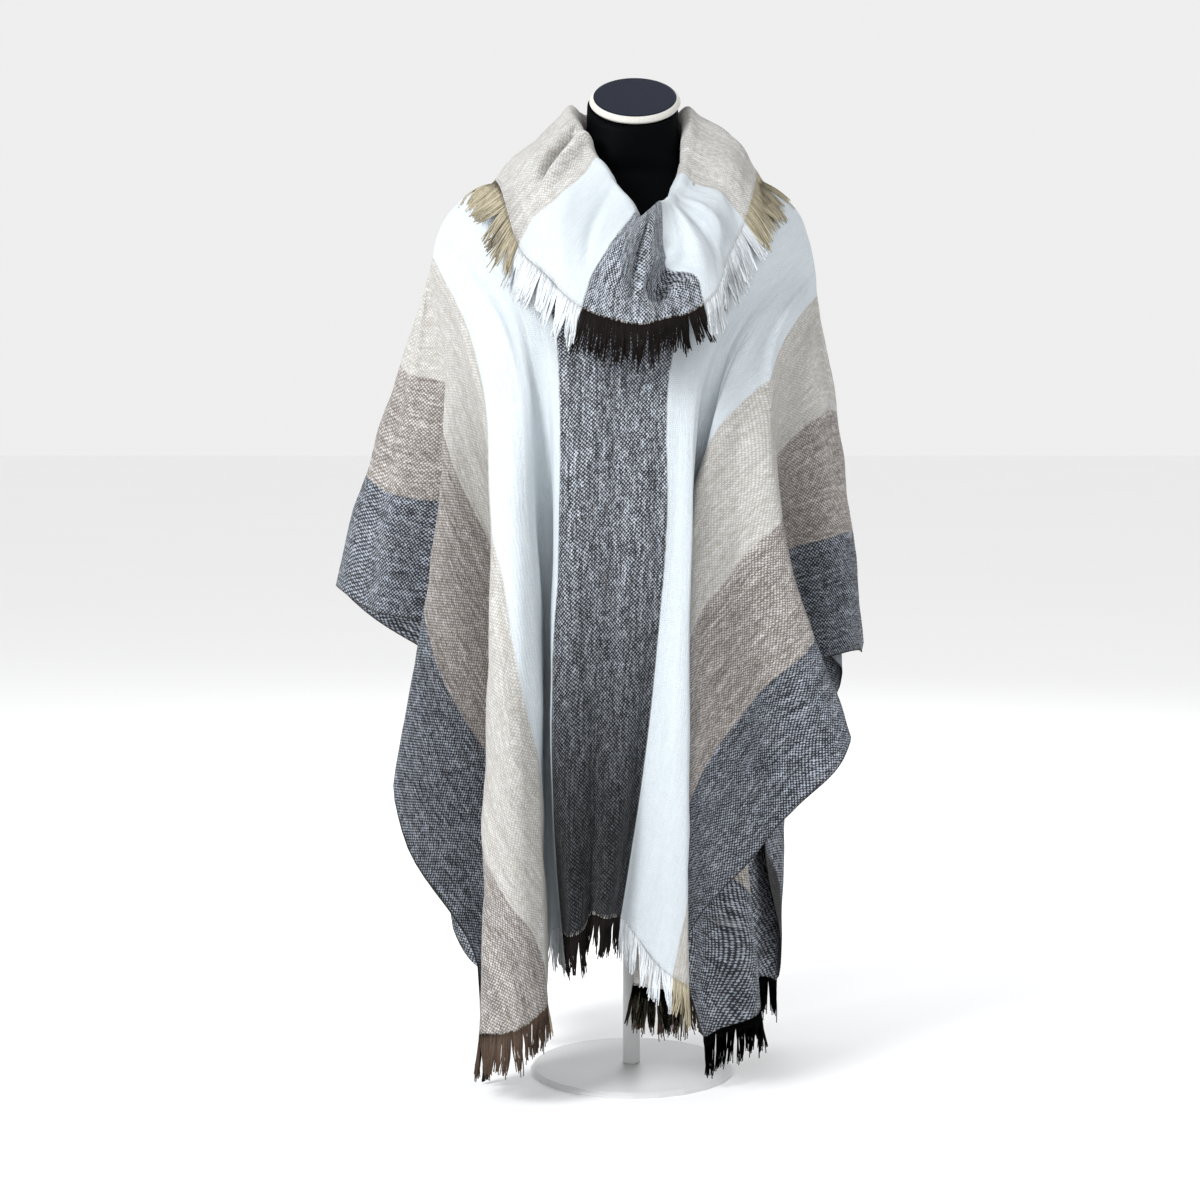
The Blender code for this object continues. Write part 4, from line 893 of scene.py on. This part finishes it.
def cloth_material(name, yarn, cover):
    """Plain weave of uneven yarns with a soft nap, in stripes by the distance from the cloth's middle."""
    nodes = Nodes(name)
    u, v = nodes.flat_place()
    names = ("sway", "slub", "fleck", "broad", "weft_slub", "drift", "tuft", "nap")
    sway, slub, fleck, broad, weft_slub, drift, tuft, nap = (nodes.grain(u, v, *GRAINS[key]) for key in names)
    shift = sway * YARN_SWAY
    over = ((u + shift) * (math.pi / yarn)).sine() * ((v + shift) * (math.pi / yarn)).sine()
    place = abs(u) + sway * BAND_SWAY
    warp, weft = (nodes.bands(place, [colour(*row[k]) for row in STRIPES]) for k in (1, 2))
    depth = nodes.bands(place, [(row[4], row[4], row[4], 1.0) for row in STRIPES])
    # The weft shows where it passes over the warp, more where it is thick and the warp is thin.
    limit = slub * 0.6 + weft_slub * -0.35 + fleck * 0.35 + cover
    woven = nodes.mix(nodes.ramp(over, limit - WEAVE_SOFT, limit + WEAVE_SOFT), warp, weft)
    uneven = slub * -0.45 + broad * 0.35 + fleck * -0.42
    uneven = nodes.math("MAXIMUM", uneven * depth + 1.0, 0.25)
    # Painted shade: the cloth is drawn darker in the gaps of the weave, where the yarns dip under each other.
    gap_shade = nodes.ramp(abs(over), 0.0, 0.3, 0.86, 1.0)
    woven = nodes.shade(woven, uneven * gap_shade)
    # Loose hairs lie over the yarns in wisps.
    hairs = nodes.ramp(nodes.grain(u + drift * HAIR_DRIFT, v, *GRAINS["hair"]), 0.1, 1.1)
    tufts = nodes.ramp(tuft, -0.5, 0.8)
    woven = nodes.mix(hairs * tufts * HAIR_SHARE, woven, colour(*HAIR))
    # The middle stripe darkens towards the front hem: painted shade of the recess between the folds there,
    # and partly its own darker tone.
    shade_and_tone = nodes.ramp(abs(u), *HEM_SHADE_AND_TONE_EDGE, 1.0, 0.0) * nodes.ramp(v, *HEM_SHADE_AND_TONE_SPAN, 0.0, HEM_SHADE_AND_TONE_DEPTH)
    woven = nodes.shade(woven, 1.0 - shade_and_tone)
    rough = nodes.ramp(nap, -0.5, 0.5, 0.84, 0.97)
    rise = abs(over) + nap * 0.35 + slub * 0.9
    return nodes.finish(woven, rough, rise, 0.0008, 0.7, Specular_IOR_Level=0.15, Sheen_Weight=0.06)


def yarn_material():
    """Twisted fringe yarns, in the colours of the stripes that they leave."""
    nodes = Nodes("fringe_yarn")
    u, down = nodes.flat_place()
    yarn = nodes.bands(abs(u), [colour(*row[3]) for row in STRIPES])
    each = nodes.node("ShaderNodeTexWhiteNoise", {"noise_dimensions": "1D"}, {"W": u * 9000.0})
    yarn = nodes.shade(yarn, nodes.ramp(each, 0.0, 1.0, 0.72, 1.25))
    # The last weft yarns show as pale specks at the roots.
    speck = nodes.ramp(down, 0.004, 0.0055, 1.0, 0.0) * nodes.ramp(each, 0.60, 0.70)
    yarn = nodes.mix(speck, yarn, colour(*SPECK_TONE))
    twist = ((down + u * 3.0) * 3200.0).sine()
    return nodes.finish(yarn, 0.95, twist, 0.0003, 0.6, Specular_IOR_Level=0.15)


def plain(name, tone, roughness, grain, height, spread, shine):
    """A smooth finish with a fine grain in its colour, roughness and surface."""
    nodes = Nodes(name)
    place = nodes.node("ShaderNodeTexCoord", output=3)
    fine = nodes.noise(place, grain, 4.0, 0.6)
    broad = nodes.noise(place, grain / 40, 2.0, 0.5)
    dark, light = (
        tuple(min(1.0, c * share) for c in colour(*tone)[:3]) + (1.0,) for share in (1 - spread, 1 + spread)
    )
    rough = nodes.ramp(fine, 0.3, 0.7, roughness - 0.05, roughness + 0.05)
    return nodes.finish(nodes.mix(broad, dark, light), rough, fine, height, 0.5, Specular_IOR_Level=shine)


def cap_material():
    """Dark blue face with a pale rim round it."""
    nodes = Nodes("cap_face")
    _, reach = nodes.flat_place()
    fine = nodes.noise(nodes.node("ShaderNodeTexCoord", output=3), 500.0, 4.0, 0.6)
    tone = nodes.mix(nodes.ramp(reach, *CAP_RIM), colour(*RIM_TONE), colour(*CAP_TONE))
    tone = nodes.shade(tone, nodes.ramp(fine, 0.3, 0.7, 0.92, 1.08))
    rough = nodes.ramp(fine, 0.3, 0.7, 0.5, 0.6)
    return nodes.finish(tone, rough, fine, 0.0002, 0.5, Specular_IOR_Level=0.10)


# ---- pieces


def cloth_pieces(surface, material):
    """The cloth's two pieces, what their fringes need (edge, way down, normals, place across) and a tree."""
    points, flat, lines, faces = joined_arcs(fine_arcs(surface))
    every = np.concatenate(faces)
    free = smoothstep(*NECK_CLEAR, np.linalg.norm(flat + (0.0, FRONT_SHIFT), axis=1))
    lift = relief(flat, BODY_WAVES, CREASES) * free
    points = points + smooth_normals(points, every) * lift[:, None]
    normals = smooth_normals(points, every)
    pieces, hems = [], []
    for half, name in enumerate(("cloth_front", "cloth_back")):
        pieces.append(wall_piece(name, points, normals, faces[half], flat, material))
        left, right = (half_arc(index, half)[:: -1 if half else 1] for index in lines)
        edge = np.concatenate([left[::-1], right[1:]])
        length = FRONT_LENGTH if half == 0 else BACK_LENGTH
        edge = edge[np.abs(flat[edge[:, -1], 1]) > length - HEM_REACH]
        last = edge[:, -1]
        hems.append((points[last], unit(points[last] - points[edge[:, -3]]), normals[last], flat[last, 0]))
    return pieces, hems, BVHTree.FromPolygons(points.tolist(), every.tolist())


def collar_piece(surface, cloth_tree, form_tree, material):
    """The collar, finer, and what its fringe needs."""
    knots, places = collar_sections(surface)
    grid = np.array([refined(section, list(COLLAR_STEPS), chord(section, 0.0)) for section in knots])
    lying = sum(COLLAR_STEPS[:COLLAR_UPPER]) + 1
    grid[:, lying:] = pushed_clear(grid[:, lying:], cloth_tree, WALL + COLLAR_CLEARANCE)
    grid[:, 2:] = pushed_clear(grid[:, 2:], form_tree, WALL / 2 + COLLAR_CLEARANCE)
    run = np.concatenate([[0.0], np.cumsum(np.linalg.norm(np.diff(grid, axis=1), axis=2).mean(axis=0))])
    shape = (*grid.shape[:2], 1)
    run, places = (np.broadcast_to(part, shape) for part in (run[None, :, None], places[:, None, None]))
    values = np.concatenate([grid, run, places], axis=2)
    before, after = values[-2:].copy(), values[:2].copy()
    before[..., 4] -= 2 * COLLAR_HALF
    after[..., 4] += 2 * COLLAR_HALF
    ring = np.concatenate([before, values, after])
    own = slice(2 * COLLAR_LINE_STEPS, -COLLAR_LINE_STEPS - 1)
    fine = np.stack([refined(ring[:, row], COLLAR_LINE_STEPS)[own] for row in range(ring.shape[1])], axis=1)
    fine = np.array([refined(section, COLLAR_ROW_STEPS) for section in fine])
    around, across = fine.shape[:2]
    index = np.arange(around * across).reshape(around, across)
    faces = cells(np.vstack([index, index[:1]]))
    points, flat = fine.reshape(-1, 5)[:, :3], fine.reshape(-1, 5)[:, [4, 3]]
    normals = smooth_normals(points, faces)
    if normals[index[:, -1], 2].mean() < 0:
        faces, normals = faces[:, ::-1], -normals
    lift = relief(flat, COLLAR_WAVES, COLLAR_CREASES) * smoothstep(*SEAM_CLEAR, flat[:, 1])
    rows = (points + normals * lift[:, None]).reshape(around, across, 3)
    lying *= COLLAR_ROW_STEPS
    rows[:, lying:] = pushed_clear(rows[:, lying:], cloth_tree, 2 * CLOTH_HALF + LAYER_GAP)
    points = rows.reshape(-1, 3)
    normals = smooth_normals(points, faces)
    piece = wall_piece("collar_strip", points, normals, faces, tucked(flat), material)
    last = np.append(index[:, -1], index[0, -1])
    c = flat[last, 0].copy()
    c[-1] += 2 * COLLAR_HALF
    return piece, (points[last], unit(points[last] - points[last - 2]), normals[last], c)


def strands(name, edge, fall, normals, places, tree, one_side, hang, pulls, seed, material):
    """Fringe yarns: each leaves the cloth, follows its fall, then hangs, its tip drawn to its bunch."""
    rng = np.random.default_rng(seed)
    reach = chord(edge)
    count = int(reach[-1] / STRAND_PITCH)
    at = (np.arange(count) + rng.uniform(0.1, 0.9, count)) * reach[-1] / count
    root, way, square = (read_line(part, reach, at) for part in (edge, fall, normals))
    way, square = unit(way), unit(square)
    u = np.interp(at, reach, places)
    ends = np.cumsum(rng.uniform(*BUNCH, int(reach[-1] / BUNCH[0])))
    bunch = np.searchsorted(ends, at)
    own = (bunch == b for b in range(len(ends) + 1))
    middle = np.array([root[mine].mean(axis=0) if mine.any() else root[0] for mine in own])
    lean = rng.normal(0, 1.0, (len(ends) + 1, 2))[bunch]
    spread = rng.normal(0, LENGTH_SPREAD[0], len(ends) + 1)[bunch] + rng.normal(0, LENGTH_SPREAD[1], count)
    long = STRAND_LENGTH * (1 + spread)
    side = unit(np.cross(way, square))
    phase, curl = rng.uniform(0, 2 * math.pi, (2, count))
    drawn = (middle[bunch] - root) * rng.uniform(*pulls, count)[:, None]
    shares = np.linspace(0, 1, STRAND_STEPS + 1)
    path = [root - way * STRAND_ROOT]
    for t in shares[1:]:
        out = STRAND_LEAN * t * (side * lean[:, :1] + square * lean[:, 1:])
        heading = unit(way + np.array([0.0, 0.0, -hang * t]) + out)
        path.append(path[-1] + heading * (long / STRAND_STEPS)[:, None])
    path = np.array(path)
    for k, t in enumerate(shares):
        wave, rise = np.sin(phase + 5 * t), np.sin(curl + 4 * t)
        path[k] += drawn * t + STRAND_WAVE * t * (side * wave[:, None] + square * rise[:, None])
    path[2:] = pushed_clear(path[2:], tree, STRAND_CLEAR, not one_side)
    path[..., 2] = np.maximum(path[..., 2], STRAND_LOW)
    around, flat = [], []
    for t in shares:
        for corner in range(3):
            angle = 2 * math.pi * corner / 3 + STRAND_TWIST * t
            round_yarn = side * math.cos(angle) + square * math.sin(angle)
            around.append(STRAND_RADIUS * (1 - STRAND_TAPER * t) * round_yarn)
            flat.append(np.stack([u, t * long], axis=-1))
    points, flat = path.repeat(3, axis=0) + np.array(around), np.array(flat)
    ids = np.arange(points.shape[0] * count).reshape(STRAND_STEPS + 1, 3, count)
    after = np.roll(ids, -1, axis=1)
    faces = np.stack([ids[:-1], ids[1:], after[1:], after[:-1]], axis=-1).reshape(-1, 4)
    piece = mesh_piece(name, points, faces.tolist(), flat.reshape(-1, 2)[faces], material)
    soft = unit(unit(np.array(around)) * (1 - STRAND_SOFT) + square * STRAND_SOFT)
    piece.data.normals_split_custom_set_from_vertices(soft.reshape(-1, 3).tolist())
    return piece


def loft(name, rings, material, reach=None):
    """Closed piece through rings, bottom to top. reach: the place of each ring on the UV map."""
    levels, around = rings.shape[:2]
    index = np.arange(levels * around).reshape(levels, around)
    sides = cells(np.hstack([index, index[:, :1]])).tolist()
    faces = [*sides, index[0, ::-1].tolist(), index[-1].tolist()]
    if reach is None:
        return mesh_piece(name, rings, faces, None, material)
    rows = np.repeat(reach, around)[np.concatenate(faces)]
    return mesh_piece(name, rings, faces, np.stack([0 * rows, rows], axis=1), material)


def cap_piece(material):
    """The neck's cap, turned from its profile and tipped forward about its centre."""
    fine = refined(np.array(CAP_PROFILE), CAP_STEPS)
    angle = np.arange(TURN_SIDES) * 2 * math.pi / TURN_SIDES
    x, y = fine[:, :1] * np.cos(angle), fine[:, :1] * np.sin(angle)
    z = np.broadcast_to(fine[:, 1:], x.shape)
    cos, sin = math.cos(NECK_SLOPE), math.sin(NECK_SLOPE)
    points = np.stack([x, y * cos - z * sin, y * sin + z * cos], axis=-1) + np.array(CAP_CENTRE)
    return loft("cap_body", points, material, chord(fine))


def form_rings():
    """Rings of the dress form on smooth curves through its sections; its neck ends on a slope."""
    table = np.array(FORM_SECTIONS)
    neck, top = table[-3, 0], table[-1, 0]
    angle = np.arange(TURN_SIDES) * 2 * math.pi / TURN_SIDES
    rings = []
    for z, half_width, front, back in refined(table, FORM_STEPS, table[:, 0]):
        depth = np.where(np.sin(angle) < 0, front, back) - FORM_INSET
        x, y = (half_width - FORM_INSET) * np.cos(angle), depth * np.sin(angle)
        share = np.clip((z - neck) / (top - neck), 0.0, 1.0)
        rings.append(np.stack([x, y, z + y * math.tan(NECK_SLOPE) * share], axis=-1))
    return np.array(rings)


def camera():
    data = bpy.data.cameras.new("camera")
    data.angle = 2 * math.atan(VIEW_WIDTH / 2 / CAMERA_DISTANCE)
    back = Vector((0.0, -math.cos(CAMERA_RISE), math.sin(CAMERA_RISE)))
    made = placed("camera", data)
    made.location = Vector(CAMERA_TARGET) + back * CAMERA_DISTANCE
    made.rotation_euler = (-back).to_track_quat("-Z", "Y").to_euler()
    bpy.context.scene.camera = made


def studio():
    """Pale floor, soft light from above and in front, and an even pale surround."""
    scene = bpy.context.scene
    mesh = bpy.data.meshes.new("floor")
    corners = [(x * FLOOR_HALF, y * FLOOR_HALF, 0.0) for x, y in ((-1, -1), (1, -1), (1, 1), (-1, 1))]
    mesh.from_pydata(corners, [], [(0, 1, 2, 3)])
    mesh.materials.append(plain(*FLOOR_PAPER))
    placed("floor", mesh)
    scene.world = bpy.data.worlds.new("studio")
    scene.world.use_nodes = True
    surround = scene.world.node_tree.nodes["Background"]
    surround.inputs["Color"].default_value = (1.0, 1.0, 1.0, 1.0)
    surround.inputs["Strength"].default_value = SURROUND
    for name, place, aim, size, power, tone in LIGHTS:
        data = bpy.data.lights.new(name, "AREA")
        data.shape, data.size, data.energy, data.color = "DISK", size, power, tone
        light = placed(name, data)
        light.location = place
        light.rotation_euler = (Vector(aim) - Vector(place)).to_track_quat("-Z", "Y").to_euler()
    scene.view_settings.view_transform = "Standard"
    scene.view_settings.exposure = EXPOSURE


def main():
    camera()
    studio()
    yarn, paint = yarn_material(), plain(*STAND_PAINT)
    surface = cloth_surface()
    (front, back), hems, cloth_tree = cloth_pieces(surface, cloth_material(*BODY_WEAVE))
    form = loft("form_body", form_rings(), plain(*FORM_COVER))
    form_tree = BVHTree.FromObject(form, bpy.context.evaluated_depsgraph_get())
    collar, collar_hem = collar_piece(surface, cloth_tree, form_tree, cloth_material(*COLLAR_WEAVE))
    fringes = [
        strands("yarns_front", *hems[0], cloth_tree, False, HANG, HEM_PULL, 31, yarn),
        strands("yarns_back", *hems[1], cloth_tree, False, HANG, HEM_PULL, 32, yarn),
        strands("yarns_collar", *collar_hem, cloth_tree, True, COLLAR_HANG, COLLAR_PULL, 33, yarn),
    ]
    for name in ("stand_pole", "stand_base"):
        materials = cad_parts[name].data.materials
        materials.clear()
        materials.append(paint)

    for piece, node, finish in (
        (front, "poncho_front", "woven_cloth"),
        (back, "poncho_back", "woven_cloth"),
        (collar, "collar", "collar_cloth"),
        (fringes[0], "fringe_front", "fringe_yarn"),
        (fringes[1], "fringe_back", "fringe_yarn"),
        (fringes[2], "fringe_collar", "fringe_yarn"),
        (form, "form_torso", "form_cover"),
        (cap_piece(cap_material()), "neck_cap", "cap_face"),
    ):
        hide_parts(node)


main()
